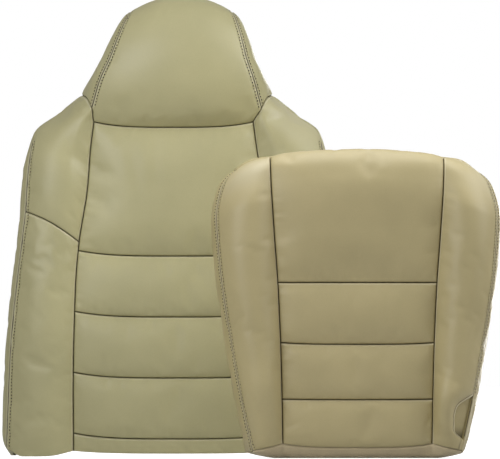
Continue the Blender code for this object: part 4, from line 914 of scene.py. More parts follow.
def back_insert_cuts():
    """The panels down the middle of the back cover, from the hem to the chin."""
    lines = [HEM_LINE, *PLEAT_LINES, CHIN_SEAM]
    levels = [HEM_LIFT, *PLEAT_LEVELS, INSERT_TOP]
    names = ("hem_band", "back_pleat_bottom", "back_pleat_middle", "back_pleat_top", "upper_insert")
    crowns = (BAND_CROWN, PLEAT_CROWN, PLEAT_CROWN, PLEAT_CROWN, UPPER_INSERT_CROWN)
    cuts = []
    for i, name in enumerate(names):
        rail = insert_rail(levels[i], levels[i + 1])
        edges = {"bottom": "free"} if i == 0 else {}
        seams = (lines[i], lines[i + 1], mirrored(rail), rail)
        cuts.append(Cut(name, seams, crowns[i], BACK_PLEAT_POWER, edges=edges))
    return cuts


def back_side_cuts():
    """The bolsters, shoulders and gussets down both sides of the back cover."""
    neck = joined(NECK_SEAM_FRONT, NECK_SEAM_SIDE)
    return [
        *both_sides(
            "side_bolster",
            (BOLSTER_HEM, SHOULDER_SEAM, LOWER_RAIL, OUTER_LOWER),
            BOLSTER_CROWN,
            BOLSTER_POWER,
            edges={"bottom": "free", "right": "lapped"},
            rows={"right": (0, 1)},
            lit=("top", "left"),
        ),
        *both_sides(
            "shoulder",
            (SHOULDER_SEAM, neck, UPPER_RAIL, OUTER_UPPER),
            SHOULDER_CROWN,
            edges={"right": ("lapped", CORNER_SHARE, "turned")},
            rows={"right": (0, CORNER_SHARE)},
            lit=("top", "left"),
        ),
        *both_sides(
            "back_gusset",
            (GUSSET_HEM, NECK_SEAM_REAR, OUTER_SEAM, REAR_SEAM),
            GUSSET_CROWN,
            GUSSET_POWER,
            peak=GUSSET_PEAK,
            fade=GUSSET_FADE,
            edges={"bottom": "free", "left": ("lapped", OUTER_CORNER_SHARE, "turned")},
            gathered=0.0,
        ),
    ]


def head_cuts():
    """The head's front, its two sides and its rear."""
    side_neck = joined(NECK_SEAM_SIDE, NECK_SEAM_REAR)
    stitched = {"left": (NECK_SHARE, 1), "right": (NECK_SHARE, 1)}
    sewn_then_lapped = ("sewn", NECK_SHARE, "lapped")
    return [
        Cut(
            "head_front",
            (CHIN_SEAM, HEAD_TOP_SEAM, mirrored(HEAD_RAIL), HEAD_RAIL),
            HEAD_CROWN,
            HEAD_POWER,
            edges={"left": sewn_then_lapped, "right": sewn_then_lapped},
            rows=stitched,
        ),
        *both_sides(
            "head_side",
            (side_neck, HEAD_SIDE_TOP, HEAD_SEAM, HEAD_REAR_SEAM),
            HEAD_SIDE_CROWN,
            edges={"left": "lapped"},
            rows={"left": (0, 1)},
        ),
        Cut(
            "rear_head_panel",
            (NECK_LINE, REAR_HEAD_TOP, mirrored(HEAD_REAR_SEAM), HEAD_REAR_SEAM),
            REAR_HEAD_CROWN,
            layer=VINYL_LAYER,
            finish="vinyl",
        ),
    ]


def seat_insert_cuts():
    """The panels down the middle of the cushion cover, from the rear to the front roll."""
    names = ("seat_pleat_rear", "seat_pleat_middle", "seat_pleat_front", "seat_front_insert")
    crowns = (PLEAT_CROWN, PLEAT_CROWN, PLEAT_CROWN, SEAT_INSERT_CROWN)
    return [
        Cut(
            name,
            (SEAT_LINES[i], SEAT_LINES[i + 1], mirrored(SEAT_RAILS[i]), SEAT_RAILS[i]),
            crowns[i],
            SEAT_PLEAT_POWER,
            cover="seat_cover",
        )
        for i, name in enumerate(names)
    ]


def seat_side_cuts():
    """The bolsters and gussets down both sides of the cushion cover, and its front boxing."""
    bolster = dict(crown=SEAT_BOLSTER_CROWN, power=BOLSTER_POWER, cover="seat_cover")
    bolster.update(lift=seat_bolster_lift, lit=("top", "left"))
    gusset = dict(crown=SEAT_GUSSET_CROWN, power=SEAT_GUSSET_POWER, cover="seat_cover")
    gusset.update(peak=GUSSET_PEAK, gathered=0.0)
    ends = (SEAT_BOLSTER_REAR, SEAT_BOLSTER_FRONT, SEAT_INNER)
    gusset_seams = (STRIP_EDGE, SEAT_CORNER_EDGE, SEAT_OUTER, SEAT_HEM)
    return [
        Cut(
            "seat_bolster_right",
            (*ends, SEAT_CUT_EDGE),
            edges={"right": ("bound", NOTCH_END, "lapped")},
            rows={"right": (NOTCH_END, 1)},
            **bolster,
        ),
        Cut(
            "seat_bolster_left",
            (*ends, SEAT_OUTER),
            edges={"right": "lapped"},
            rows={"right": (0, 1)},
            flipped=True,
            **bolster,
        ),
        Cut(
            "seat_gusset_right",
            gusset_seams,
            edges={"left": ("bound", OUTER_NOTCH_END, "lapped"), "right": "free"},
            rows={"left": (OUTER_NOTCH_END, 1)},
            **gusset,
        ),
        Cut(
            "seat_gusset_left",
            gusset_seams,
            edges={"left": "lapped", "right": "free"},
            rows={"left": (0, 1)},
            flipped=True,
            **gusset,
        ),
        Cut(
            "seat_front_boxing",
            (FRONT_LINE, FRONT_HEM, mirrored(SEAT_CORNER_EDGE), SEAT_CORNER_EDGE),
            BOXING_CROWN,
            BOXING_POWER,
            cover="seat_cover",
            edges={"top": "free"},
        ),
    ]


CUTS = {
    "back_insert": back_insert_cuts(),
    "back_sides": back_side_cuts(),
    "head": head_cuts(),
    "cushion_insert": seat_insert_cuts(),
    "cushion_sides": seat_side_cuts(),
}
ALL_CUTS = [cut for group in CUTS.values() for cut in group]


# Meshes


def grid_quads(grid, inward):
    """The corners of each quad of a grid, row by row, facing away from the inward directions."""
    rows, columns = grid.shape[:2]
    start = (np.arange(rows - 1)[:, None] * columns + np.arange(columns - 1)[None]).ravel()
    quads = np.column_stack([start, start + 1, start + columns + 1, start + columns])
    return quads[:, ::-1] if (grid_normals(grid) * inward).sum() > 0 else quads


def new_piece(name, points, faces, materials, face_materials=None, sharp_angle=60):
    mesh = bpy.data.meshes.new(name)
    mesh.from_pydata(np.asarray(points, float).reshape(-1, 3).tolist(), [], [list(f) for f in faces])
    for material in materials:
        mesh.materials.append(material)
    if face_materials is not None:
        mesh.polygons.foreach_set("material_index", np.asarray(face_materials, np.int32))
    mesh.shade_smooth()
    mesh.set_sharp_from_angle(angle=math.radians(sharp_angle))
    mesh.update()
    obj = bpy.data.objects.new(name, mesh)
    bpy.context.scene.collection.objects.link(obj)
    return obj


def set_outer_values(obj, name, values):
    """Sets a value at each point of a layer's outer grid, and none on its inner grid."""
    attribute = obj.data.attributes.new(name, "FLOAT", "POINT")
    both = np.concatenate([values.ravel(), np.zeros(values.size)])
    attribute.data.foreach_set("value", both.astype(np.float32))


def layer_piece(name, outer, inner, finishes, keep=None):
    """A closed layer between an outer and an inner grid, each in a finish of its own."""
    count = outer.shape[0] * outer.shape[1]
    quads = grid_quads(outer, inner - outer)
    if keep is not None:
        quads = quads[keep.ravel()]
    sides = np.concatenate([quads[:, [i, (i + 1) % 4]] for i in range(4)])
    forward = sides[:, 0] * count + sides[:, 1]
    backward = sides[:, 1] * count + sides[:, 0]
    rim = sides[~np.isin(forward, backward)]
    walls = np.column_stack([rim[:, 1], rim[:, 0], rim[:, 0] + count, rim[:, 1] + count])
    faces = np.concatenate([quads, quads[:, ::-1] + count, walls])
    kinds = np.concatenate([np.zeros(len(quads)), np.ones(len(quads)), np.zeros(len(walls))])
    points = np.concatenate([outer.reshape(-1, 3), inner.reshape(-1, 3)])
    return new_piece(name, points, faces, [FINISHES[finish] for finish in finishes], kinds)


def capsules(centres, along, up, length, radius, sides=6):
    """Points and faces of short rounded rods, one at each centre, dipping in at both ends."""
    reach = np.array((-0.5, -0.42, -0.22, 0.22, 0.42, 0.5)) * length
    height = np.array((-0.8, 0.0, 0.5, 0.5, 0.0, -0.8)) * radius
    size = np.array((0.45, 0.85, 1, 1, 0.85, 0.45)) * radius
    turn = np.arange(sides) * 2 * math.pi / sides
    side = np.cross(along, up)
    rings = len(reach)
    ring_up = height[:, None] + size[:, None] * np.sin(turn)[None]
    ring_side = size[:, None] * np.cos(turn)[None]
    points = (
        centres[:, None, None]
        + along[:, None, None] * reach[None, :, None, None]
        + up[:, None, None] * ring_up[None, :, :, None]
        + side[:, None, None] * ring_side[None, :, :, None]
    )
    start, k = np.divmod(np.arange((rings - 1) * sides), sides)
    low, after = start * sides, (k + 1) % sides
    faces = np.column_stack([low + k, low + after, low + sides + after, low + sides + k])
    count = rings * sides
    steps = np.arange(len(centres)) * count
    quads = (faces[None] + steps[:, None, None]).reshape(-1, 4)
    first = np.arange(sides)[::-1]
    last = np.arange(sides) + count - sides
    caps = (np.stack([first, last])[None] + steps[:, None, None]).reshape(-1, sides)
    return points.reshape(-1, 3), [list(q) for q in quads] + [list(c) for c in caps]


def discs(centres, along, up, radius, sides=6):
    """Points and faces of small flat discs that lie on a surface, longer along their row than across it."""
    turn = np.arange(sides) * 2 * math.pi / sides
    side = np.cross(along, up)
    points = (
        centres[:, None]
        + HOLE_STRETCH * radius * np.cos(turn)[None, :, None] * along[:, None]
        + radius * np.sin(turn)[None, :, None] * side[:, None]
    )
    faces = np.arange(len(centres) * sides).reshape(-1, sides)
    return points.reshape(-1, 3), [list(f) for f in faces]


# Settling of the leather


def settle_leather(cuts, settings):
    """Lets every panel settle over its filling in one cloth simulation, held along its seams."""
    grids = []
    for cut in cuts:
        across, along = even_stations(cut.width()), even_stations(cut.height())
        grids.append((cut, across, along, cut.surface(across, along)))
    points, faces, held = [], [], []
    count = 0
    for cut, across, along, grid in grids:
        into = cut.into(grid)
        edge = np.ones(grid.shape[:2], bool)
        edge[1:-1, 1:-1] = False
        wander = RANDOM.normal(0, SETTLE_WANDER, edge.shape)[..., None] * into
        points.append(np.where(edge[..., None], grid, grid + wander).reshape(-1, 3))
        faces.append(grid_quads(grid, into) + count)
        held.append(np.flatnonzero(edge.ravel()) + count)
        count += edge.size
    start = np.concatenate(points)
    obj = new_piece("settling_leather", start, np.concatenate(faces), [])
    pins = obj.vertex_groups.new(name="held")
    pins.add([int(i) for i in np.concatenate(held)], 1.0, "REPLACE")
    cloth = obj.modifiers.new("settle", "CLOTH")
    leather = cloth.settings
    leather.quality = 6
    leather.mass = 0.5
    leather.tension_stiffness = 40
    leather.compression_stiffness = 40
    leather.shear_stiffness = 20
    leather.bending_stiffness = 12
    leather.air_damping = 3
    leather.vertex_group_mass = pins.name
    leather.shrink_min = -settings.slack
    leather.use_pressure = True
    leather.uniform_pressure_force = settings.pressure
    leather.effector_weights.gravity = 0
    cloth.collision_settings.use_collision = False
    cloth.point_cache.frame_start = 1
    cloth.point_cache.frame_end = settings.frames
    scene = bpy.context.scene
    for step in range(1, settings.frames + 1):
        scene.frame_set(step)
    shown = obj.evaluated_get(bpy.context.evaluated_depsgraph_get())
    ended = np.empty(count * 3)
    shown.data.vertices.foreach_get("co", ended)
    move = ended.reshape(-1, 3) - start
    far = np.linalg.norm(move, axis=1, keepdims=True)
    limit = settings.most_move
    move *= limit * np.tanh(far / limit) / np.maximum(far, 1e-9)
    scene.frame_set(1)
    mesh = obj.data
    bpy.data.objects.remove(obj)
    bpy.data.meshes.remove(mesh)
    done = 0
    for cut, across, along, grid in grids:
        size = grid.shape[0] * grid.shape[1]
        cut.settled = (across, along, move[done : done + size].reshape(grid.shape))
        done += size


def settled_move(cut, across, along):
    """How far the panel has settled, at shares of its width and height."""
    if cut.settled is None:
        return np.zeros((len(along), len(across), 3))
    knots_across, knots_along, move = cut.settled
    rows = spline(knots_along, move.reshape(len(knots_along), -1), along)
    rows = rows.reshape(len(along), len(knots_across), 3).transpose(1, 0, 2)
    columns = spline(knots_across, rows.reshape(len(knots_across), -1), across)
    return columns.reshape(len(across), len(along), 3).transpose(1, 0, 2)


# Laying out one panel


def roll_in(distance, depth, radius):
    """How far a panel has turned in at a distance from its seam."""
    near = np.clip(1 - distance / radius, 0, 1)
    return depth * (1 - np.sqrt(1 - near**2))


def bell(distance, middle, width):
    """A smooth bump from 0 to 1 and back, at a distance from a seam."""
    return np.exp(-(((distance - middle) / width) ** 2))


def run_along(edge, distances):
    """How far along an edge each point of the grid lies."""
    return distances["bottom"] if edge in ("left", "right") else distances["left"]


def kind_weights(cut, edge, distances):
    """How much of each kind of sewing the nearest stretch of an edge has, from 0 to 1."""
    kind = cut.edges[edge]
    if isinstance(kind, str):
        return {kind: 1.0}
    first, share, second = kind
    run = run_along(edge, distances)
    total = run[-1:] if edge in ("left", "right") else run[:, -1:]
    later = smooth_step(share - KIND_FADE[0], share + KIND_FADE[1], run / np.maximum(total, 1e-9))
    return {first: 1 - later, second: later}


def gathers(cut, edge, distances, pitch):
    """An uneven wave along an edge, from -1 to 1, of its own for each panel."""
    run = run_along(edge, distances)
    start = sum(map(ord, cut.node + edge)) % 97
    uneven = run
    for height, length, turn in GATHER_WANDER:
        uneven = uneven + height * np.sin(run / length + turn * start)
    strength = 0.55 + 0.45 * np.sin(run / GATHER_SWELL + 3 * start)
    return strength * np.sin(2 * math.pi * uneven / pitch)


def edge_shape(cut, grid, seams):
    """How far each point is drawn in towards the core, and how much painted shade and painted highlight it
    gets beside its seams.
    """
    distances = edge_distances(grid)
    total, shade, painted_highlight, pucker = np.zeros((4, *grid.shape[:2]))
    for edge in cut.edges:
        distance = distances[edge]
        weights = kind_weights(cut, edge, distances)
        kinds = ("sewn", "lapped", "turned", "free", "bound")
        sewn, lapped, turned, free, bound = (weights.get(kind, 0.0) for kind in kinds)
        row = bell(distance, cut.row_offset(seams), seams.row_width)
        fall = sewn * roll_in(distance, seams.seam_depth, seams.seam_roll)
        fall = fall + (free + bound + turned) * roll_in(distance, seams.hem_roll, seams.hem_roll)
        fall = fall + lapped * (roll_in(distance, seams.lap_depth, seams.lap_roll) + seams.row_depth * row)
        total = total + fall**3
        # Painted shade: the leather is darkened in and beside each seam, less wide over an edge that catches
        # the light, along rows of stitches and beside a binding
        wide = seams.lit_shade if edge in cut.lit else seams.seam_shade
        line = bell(distance, 0, wide) * (sewn + TURNED_SHADE * turned)
        line = np.maximum(line, bell(distance, 0, seams.lap_shade) * lapped)
        shade = np.maximum(shade, np.maximum(line, ROW_SHADE * row * lapped))
        # Painted highlight: a pale band on the ridge beside a double-stitched seam, and beside a sewn seam
        # over an edge that catches the light
        ridge = bell(distance, seams.highlight_offset, seams.highlight_width)
        painted_highlight = np.maximum(painted_highlight, ridge * (lapped + sewn * (edge in cut.lit)))
        beside = bell(distance, seams.binding_width, seams.row_width) * bound
        total = total + (seams.row_depth * beside) ** 3
        shade = np.maximum(shade, BINDING_SHADE * beside)
        fade = np.exp(-distance / seams.pucker_reach) * smooth_step(0, GATHER_START, distance)
        gather = cut.gathered * seams.pucker_depth * (fade * (sewn + lapped))
        pucker = pucker + gather * gathers(cut, edge, distances, seams.pucker_pitch)
    return np.cbrt(total) + pucker, shade, painted_highlight, distances


def crease_depth(grid, creases):
    """The hollow of creases, each from one share of width and height to another."""
    depth = np.zeros(grid.shape[:2])
    rows, columns = depth.shape
    for (u0, v0), (u1, v1), deep, wide in creases:
        ends = [grid[round(v * (rows - 1)), round(u * (columns - 1))] for u, v in ((u0, v0), (u1, v1))]
        run = ends[1] - ends[0]
        share = np.clip(((grid - ends[0]) @ run) / (run @ run), 0, 1)
        off = np.linalg.norm(grid - ends[0] - share[..., None] * run, axis=2)
        taper = np.sin(np.pi * np.clip(share, 0.04, 0.96))
        groove = bell(off, 0, wide) - LIP_SHARE * bell(off, LIP_OFFSET * wide, wide)
        depth += deep * taper * groove
    return depth


def lay_out(cut, seams):
    """The outer and inner grids of a panel, its painted shade in and beside the seams, and its painted
    highlights.
    """
    across, along = panel_stations(cut.width()), panel_stations(cut.height())
    base = cut.surface(across, along) + settled_move(cut, across, along)
    into = cut.into(base)
    fall, shade, painted_highlight, distances = edge_shape(cut, base, seams)
    fall = fall + crease_depth(base, CREASES.get(cut.node, ()))
    # Patches of painted highlight
    for (u, v), (wide, high), strength in PAINTED_HIGHLIGHT_PATCHES.get(cut.node, ()):
        painted_highlight = np.maximum(painted_highlight, strength * np.outer(bell(along, v, high), bell(across, u, wide)))
    outer = base + fall[..., None] * into
    inner = base + cut.layer * into
    return outer, inner, shade, painted_highlight, distances


def row_line(outer, inner, distances, edge, offset):
    """The line over a panel at an offset from one of its edges, and the outward direction along it."""
    distance = distances[edge]
    points, out = outer, outer - inner
    if edge in ("bottom", "top"):
        distance, points, out = distance.T, points.transpose(1, 0, 2), out.transpose(1, 0, 2)
    if edge in ("right", "top"):
        distance, points, out = distance[:, ::-1], points[:, ::-1], out[:, ::-1]
    line, beside = (
        np.concatenate([points_at(row, off, at) for row, off in zip(points, distance)])
        for at in (offset, offset + ROW_PROBE)
    )
    column = int(np.argmin(np.abs(distance[0] - offset)))
    up = unit(np.cross(np.gradient(line, axis=0), beside - line))
    up *= np.sign((up * out[:, column]).sum(axis=1, keepdims=True))
    return line, up


def stitch_places(line, up, span, pitch):
    """Centres, directions and outward directions of stitches along a span of a line."""
    along = lengths_along(line)
    at = np.arange(span[0] * along[-1] + pitch, span[1] * along[-1] - pitch / 2, pitch)
    centres = points_at(line, along, at)
    direction = unit(points_at(line, along, at + STITCH_PROBE) - centres)
    outward = points_at(up, along, at)
    outward -= (outward * direction).sum(axis=1, keepdims=True) * direction
    return centres, direction, unit(outward)


# Finishes


def new_group(name, inputs, outputs):
    """An empty shader group with its sockets, its inputs, and the coordinates of the piece."""
    tree = bpy.data.node_groups.new(name, "ShaderNodeTree")
    for way, sockets in (("INPUT", inputs), ("OUTPUT", outputs)):
        for label, kind in sockets.items():
            tree.interface.new_socket(label, in_out=way, socket_type=f"NodeSocket{kind}")
    given = tree.nodes.new("NodeGroupInput").outputs
    return tree, given, tree.nodes.new("ShaderNodeTexCoord").outputs["Object"]


def end_group(tree, **results):
    end = tree.nodes.new("NodeGroupOutput")
    for label, value in results.items():
        tree.links.new(value, end.inputs[label])
    return tree


def feed(tree, socket, value):
    """Gives a socket a constant, or a link from another node."""
    if isinstance(value, bpy.types.NodeSocket):
        tree.links.new(value, socket)
    else:
        socket.default_value = value


def math_node(tree, operation, first, second):
    node = tree.nodes.new("ShaderNodeMath")
    node.operation = operation
    feed(tree, node.inputs[0], first)
    feed(tree, node.inputs[1], second)
    return node.outputs[0]


def mix_colours(tree, blend, share, first, second):
    node = tree.nodes.new("ShaderNodeMix")
    node.data_type = "RGBA"
    node.blend_type = blend
    for index, value in ((0, share), (6, first), (7, second)):
        feed(tree, node.inputs[index], value)
    return node.outputs[2]


def noise_node(tree, place, scale, detail):
    node = tree.nodes.new("ShaderNodeTexNoise")
    for label, value in (("Vector", place), ("Scale", scale), ("Detail", detail)):
        feed(tree, node.inputs[label], value)
    return node.outputs["Fac"]


def ramp_node(tree, *values):
    """A value from one range moved into another: the value, both ends of the first, both of the second."""
    node = tree.nodes.new("ShaderNodeMapRange")
    for socket, value in zip(node.inputs, values):
        feed(tree, socket, value)
    return node.outputs[0]


def point_value(tree, name):
    node = tree.nodes.new("ShaderNodeAttribute")
    node.attribute_name = name
    return node.outputs["Fac"]


SURFACE = {"Colour": "Color", "Roughness": "Float", "Height": "Float"}


def leather_grain_group():
    """Grain and tone of leather, with its painted seam shade and painted highlights, as colour, roughness and
    height.
    """
    inputs = {"Leather": "Color", "Painted Highlight": "Color", "Seam": "Color", "Cell Scale": "Float"}
    tree, given, place = new_group("leather_grain", inputs, SURFACE)
    cells = tree.nodes.new("ShaderNodeTexVoronoi")
    cells.feature = "SMOOTH_F1"
    tree.links.new(place, cells.inputs["Vector"])
    tree.links.new(given["Cell Scale"], cells.inputs["Scale"])
    cell = cells.outputs["Distance"]
    pores, cloud = noise_node(tree, place, 1400, 3), noise_node(tree, place, 11, 3)
    height = math_node(tree, "ADD", cell, math_node(tree, "MULTIPLY", pores, 0.5))
    tone = ramp_node(tree, cloud, 0.3, 0.7, 0.94, 1.04)
    speck = ramp_node(tree, cell, 0.0, 0.8, 1.03, 0.95)
    toned = mix_colours(tree, "MULTIPLY", 1.0, given["Leather"], math_node(tree, "MULTIPLY", tone, speck))
    # Painted highlight: the pale colour mixed in where the points ask for it
    highlight_share = ramp_node(tree, point_value(tree, "painted_highlight"), 0, 1, 0.0, 0.4)
    highlighted = mix_colours(tree, "MIX", highlight_share, toned, given["Painted Highlight"])
    # Painted shade: the near-black mixed in where the points ask for it
    coloured = mix_colours(tree, "MIX", point_value(tree, "seam"), highlighted, given["Seam"])
    rough = ramp_node(tree, cloud, 0.3, 0.7, 0.40, 0.50)
    return end_group(tree, Colour=coloured, Roughness=rough, Height=height)


def woven_cloth_group():
    """Crossed threads of a woven cloth, as colour and height."""
    outputs = {"Colour": "Color", "Height": "Float"}
    tree, given, place = new_group("woven_cloth", {"Cloth": "Color", "Threads": "Float"}, outputs)
    waves = []
    for direction in ("X", "Z"):
        wave = tree.nodes.new("ShaderNodeTexWave")
        wave.bands_direction = direction
        inputs = {"Distortion": 0.6, "Detail": 1.0, "Vector": place, "Scale": given["Threads"]}
        for label, value in inputs.items():
            feed(tree, wave.inputs[label], value)
        waves.append(wave.outputs["Fac"])
    height = math_node(tree, "MAXIMUM", *waves)
    thread_tone = ramp_node(tree, height, 0, 1, 0.72, 1.06)
    cloud_tone = ramp_node(tree, noise_node(tree, place, 30, 3), 0.3, 0.7, 0.92, 1.06)
    shade = math_node(tree, "MULTIPLY", thread_tone, cloud_tone)
    coloured = mix_colours(tree, "MULTIPLY", 1.0, given["Cloth"], shade)
    return end_group(tree, Colour=coloured, Height=height)


def worn_surface_group():
    """Fine marks and changes of tone on plastic, metal and thread, as colour, roughness and height."""
    inputs = {"Clean": "Color", "Worn": "Color", "Mark Scale": "Float"}
    tree, given, place = new_group("worn_surface", inputs, SURFACE)
    marks = noise_node(tree, place, given["Mark Scale"], 4)
    worn = ramp_node(tree, marks, 0.45, 0.75, 0, 1)
    mixed = mix_colours(tree, "MIX", worn, given["Clean"], given["Worn"])
    rough = ramp_node(tree, marks, 0.3, 0.7, 0.32, 0.55)
    return end_group(tree, Colour=mixed, Roughness=rough, Height=marks)


def grouped_finish(name, group, colour, inputs, constants, strength, distance):
    """A material whose colour, bumps and varying roughness come from a shader group."""
    material = bpy.data.materials.new(name)
    material.use_nodes = True
    tree = material.node_tree
    shader = tree.nodes["Principled BSDF"]
    effect = tree.nodes.new("ShaderNodeGroup")
    effect.node_tree = group
    bump = tree.nodes.new("ShaderNodeBump")
    bumps = {"Strength": strength, "Distance": distance, "Height": effect.outputs["Height"]}
    shown = {"Base Color": (*colour, 1), **constants}
    for node, values in ((effect, inputs), (bump, bumps), (shader, shown)):
        for label, value in values.items():
            feed(tree, node.inputs[label], value)
    for label, socket in (("Colour", "Base Color"), ("Roughness", "Roughness")):
        if label in effect.outputs:
            tree.links.new(effect.outputs[label], shader.inputs[socket])
    tree.links.new(bump.outputs["Normal"], shader.inputs["Normal"])
    return material


def leather_finish(name, group, colour, colours, cell_scale):
    inputs = {"Leather": (*colour, 1), "Painted Highlight": (*colours.painted_highlight, 1), "Seam": (*colours.seam, 1)}
    inputs["Cell Scale"] = cell_scale
    return grouped_finish(name, group, colour, inputs, {"Roughness": 0.45}, 0.25, 0.0003)


def cloth_finish(name, group, colour, threads, sheen):
    inputs = {"Cloth": (*colour, 1), "Threads": threads}
    return grouped_finish(name, group, colour, inputs, {"Roughness": 0.9, "Sheen Weight": sheen}, 0.5, 0.0004)


def worn_finish(name, group, colour, mark_scale, wear, metallic=0.0):
    worn = [min(1.0, wear * share) for share in colour]
    inputs = {"Clean": (*colour, 1), "Worn": (*worn, 1), "Mark Scale": mark_scale}
    return grouped_finish(name, group, colour, inputs, {"Roughness": 0.45, "Metallic": metallic}, 0.2, 0.0002)


FINISHES = {}


def make_finishes(colours):
    grain, weave, marks = leather_grain_group(), woven_cloth_group(), worn_surface_group()
    FINISHES["leather"] = leather_finish("tan_leather", grain, colours.leather, colours, 900)
    FINISHES["cushion"] = leather_finish("cushion_leather", grain, colours.cushion, colours, 900)
    FINISHES["vinyl"] = leather_finish("tan_vinyl", grain, colours.vinyl, colours, 1300)
    FINISHES["backing"] = cloth_finish("scrim_backing", weave, colours.backing, 500, 0.1)
    FINISHES["fabric"] = cloth_finish("tuck_fabric", weave, colours.fabric, 330, 0.25)
    FINISHES["sleeve"] = cloth_finish("sleeve_cloth", weave, colours.sleeve, 420, 0.1)
    FINISHES["tape"] = cloth_finish("zip_tape_cloth", weave, colours.tape, 520, 0.1)
    FINISHES["thread"] = worn_finish("sewing_thread", marks, colours.thread, 2600, 1.15)
    FINISHES["hole"] = worn_finish("needle_hole", marks, colours.hole, 1800, 1.3)
    FINISHES["plastic"] = worn_finish("hook_plastic", marks, colours.plastic, 240, 1.6)
    FINISHES["steel"] = worn_finish("wire_steel", marks, colours.steel, 700, 0.8, 1.0)
    FINISHES["slider"] = worn_finish("slider_metal_finish", marks, colours.slider, 500, 1.4, 1.0)


# Pieces


COVERS = ("back_cover", "seat_cover")
SEAT_NODES = frame["record"]["behaviour"]["bodies"]["seat_cover"]
LIT = {}


def mount_piece(obj, cover, slot, *nodes):
    LIT[cover].objects.link(obj)
    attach(obj, cover)
    if nodes:
        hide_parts(*nodes)
    return obj


LAID = {}


def build_panel(cut, seams):
    outer, inner, shade, painted_highlight, distances = lay_out(cut, seams)
    outer, inner = cut.to_row(outer), cut.to_row(inner)
    LAID[cut.node] = (outer, inner, distances)
    finish = cut.finish if cut.on_back else "cushion"
    obj = layer_piece(f"{cut.node}_{cut.finish}", outer, inner, (finish, "backing"))
    # Painted shade and painted highlight at each outer point
    set_outer_values(obj, "seam", shade)
    set_outer_values(obj, "painted_highlight", painted_highlight)
    mount_piece(obj, cut.cover, cut.finish, cut.node)


def stitch_piece(name, runs, seams, cover):
    """All the stitches along some runs as one piece, with dark discs of painted shade at their needle holes.
    """
    points, faces, kinds = [], [], []
    count = 0
    for line, up, span in runs:
        centres, along, out = stitch_places(line, up, span, seams.stitch_pitch)
        if not len(centres):
            continue
        holes = centres + seams.stitch_pitch / 2 * along + HOLE_PROUD * out
        threads = centres + THREAD_PROUD * out
        made = (
            (capsules(threads, along, out, seams.stitch_length, seams.thread_radius), 0),
            (discs(holes, along, out, seams.hole_radius), 1),
        )
        for (where, shape), kind in made:
            points.append(where)
            faces += [[i + count for i in face] for face in shape]
            kinds += [kind] * len(shape)
            count += len(where)
    obj = new_piece(name, np.concatenate(points), faces, [FINISHES["thread"], FINISHES["hole"]], kinds)
    return mount_piece(obj, cover, "leather")


def stitch_rows(cuts, seams):
    """The rows of stitches over some laid-out panels."""
    return [
        (*row_line(*LAID[cut.node], edge, cut.row_offset(seams)), span)
        for cut in cuts
        for edge, span in cut.rows.items()
    ]


def build_group(context, group, stitches=None):
    """Builds the panels of one group, and all their stitches as one piece."""
    seams = context.scene.seat_covers.seams
    cuts = CUTS[group]
    for cut in cuts:
        build_panel(cut, seams)
    if stitches:
        stitch_piece(stitches, stitch_rows(cuts, seams), seams, cuts[0].cover)
    return {"FINISHED"}


def edge_strip(name, node, edge, span, seams, *nodes):
    """A folded leather strip over part of a panel's side edge, a little proud of the panel."""
    share = shares_along(row_line(*LAID[node], edge, 0.0)[0])
    rows = (share > span[0]) & (share < span[1])
    along, across = np.linspace(0, 1, 70), np.linspace(0, 1, 15)
    start, end = BINDING_TAPER
    taper = np.minimum(smooth_step(0, start, along), smooth_step(0, end, 1 - along))
    full = np.sqrt(1 - (2 * across - 1) ** 4)
    outer, inner = [], []
    for offset, swell in zip(across * seams.binding_width, full):
        line, up = row_line(*LAID[node], edge, offset)
        line, up = (curve_through(values[rows], along) for values in (line, up))
        rise = seams.binding_rise * swell * (BINDING_LEAST + (1 - BINDING_LEAST) * taper)
        outer.append(line + rise[:, None] * up)
        inner.append(line - 0.5 * seams.binding_rise * up)
    outer, inner = (np.stack(lines, axis=1) for lines in (outer, inner))
    obj = layer_piece(name, outer, inner, ("cushion", "cushion"))
    # Painted shade along both borders of the strip, and painted highlight over its swell
    border = np.minimum(across, 1 - across) * seams.binding_width
    for label, values in (("seam", bell(border, 0, seams.lit_shade)), ("painted_highlight", full)):
        set_outer_values(obj, label, np.tile(values, (len(along), 1)))
    return mount_piece(obj, "seat_cover", "leather", *nodes)


def sleeve_piece(node, path, side, depth, to_row, cover):
    """A folded fabric sleeve along a seam, finely rippled."""
    angles = np.radians(np.linspace(0, 180, 11))
    fold = [(SLEEVE_RADIUS * math.cos(a), SLEEVE_DROP + SLEEVE_RADIUS * math.sin(a)) for a in angles]
    lead = SLEEVE_DROP - 2 * SLEEVE_RADIUS
    mouth = SLEEVE_LAYER / 2 + FIT_GAP / 2
    outline = [(mouth, FIT_GAP), (SLEEVE_RADIUS, lead), *fold, (-SLEEVE_RADIUS, lead), (-mouth, FIT_GAP)]
    section = curve_through(outline, np.linspace(0, 1, 25))
    length = length_of(path)
    fine = np.linspace(0, 1, max(12, round(length / SLEEVE_SPACING)))
    line = at_shares(path, fine)
    ripple = sum(height * np.sin(fine * length / pitch + turn) for height, pitch, turn in SLEEVE_RIPPLES)
    grid = line[:, None] + section[None, :, :1] * side + section[None, :, 1:] * depth
    grid = grid + ripple[:, None, None] * side
    half_layer = SLEEVE_LAYER / 2 * unit(grid_normals(grid))
    outer, inner = to_row(grid - half_layer), to_row(grid + half_layer)
    obj = layer_piece(f"{node}_cloth", outer, inner, ("sleeve", "sleeve"))
    mount_piece(obj, cover, "sleeve", node)


def finish_nodes(finish, *nodes):
    for node in nodes:
        materials = frame["nodes"][node].data.materials
        materials.clear()
        materials.append(FINISHES[finish])


BACKWARDS = np.array((0, -1, 0))
SIDEWAYS = np.array((1, 0, 0))
UPWARDS = np.array((0, 0, 1))


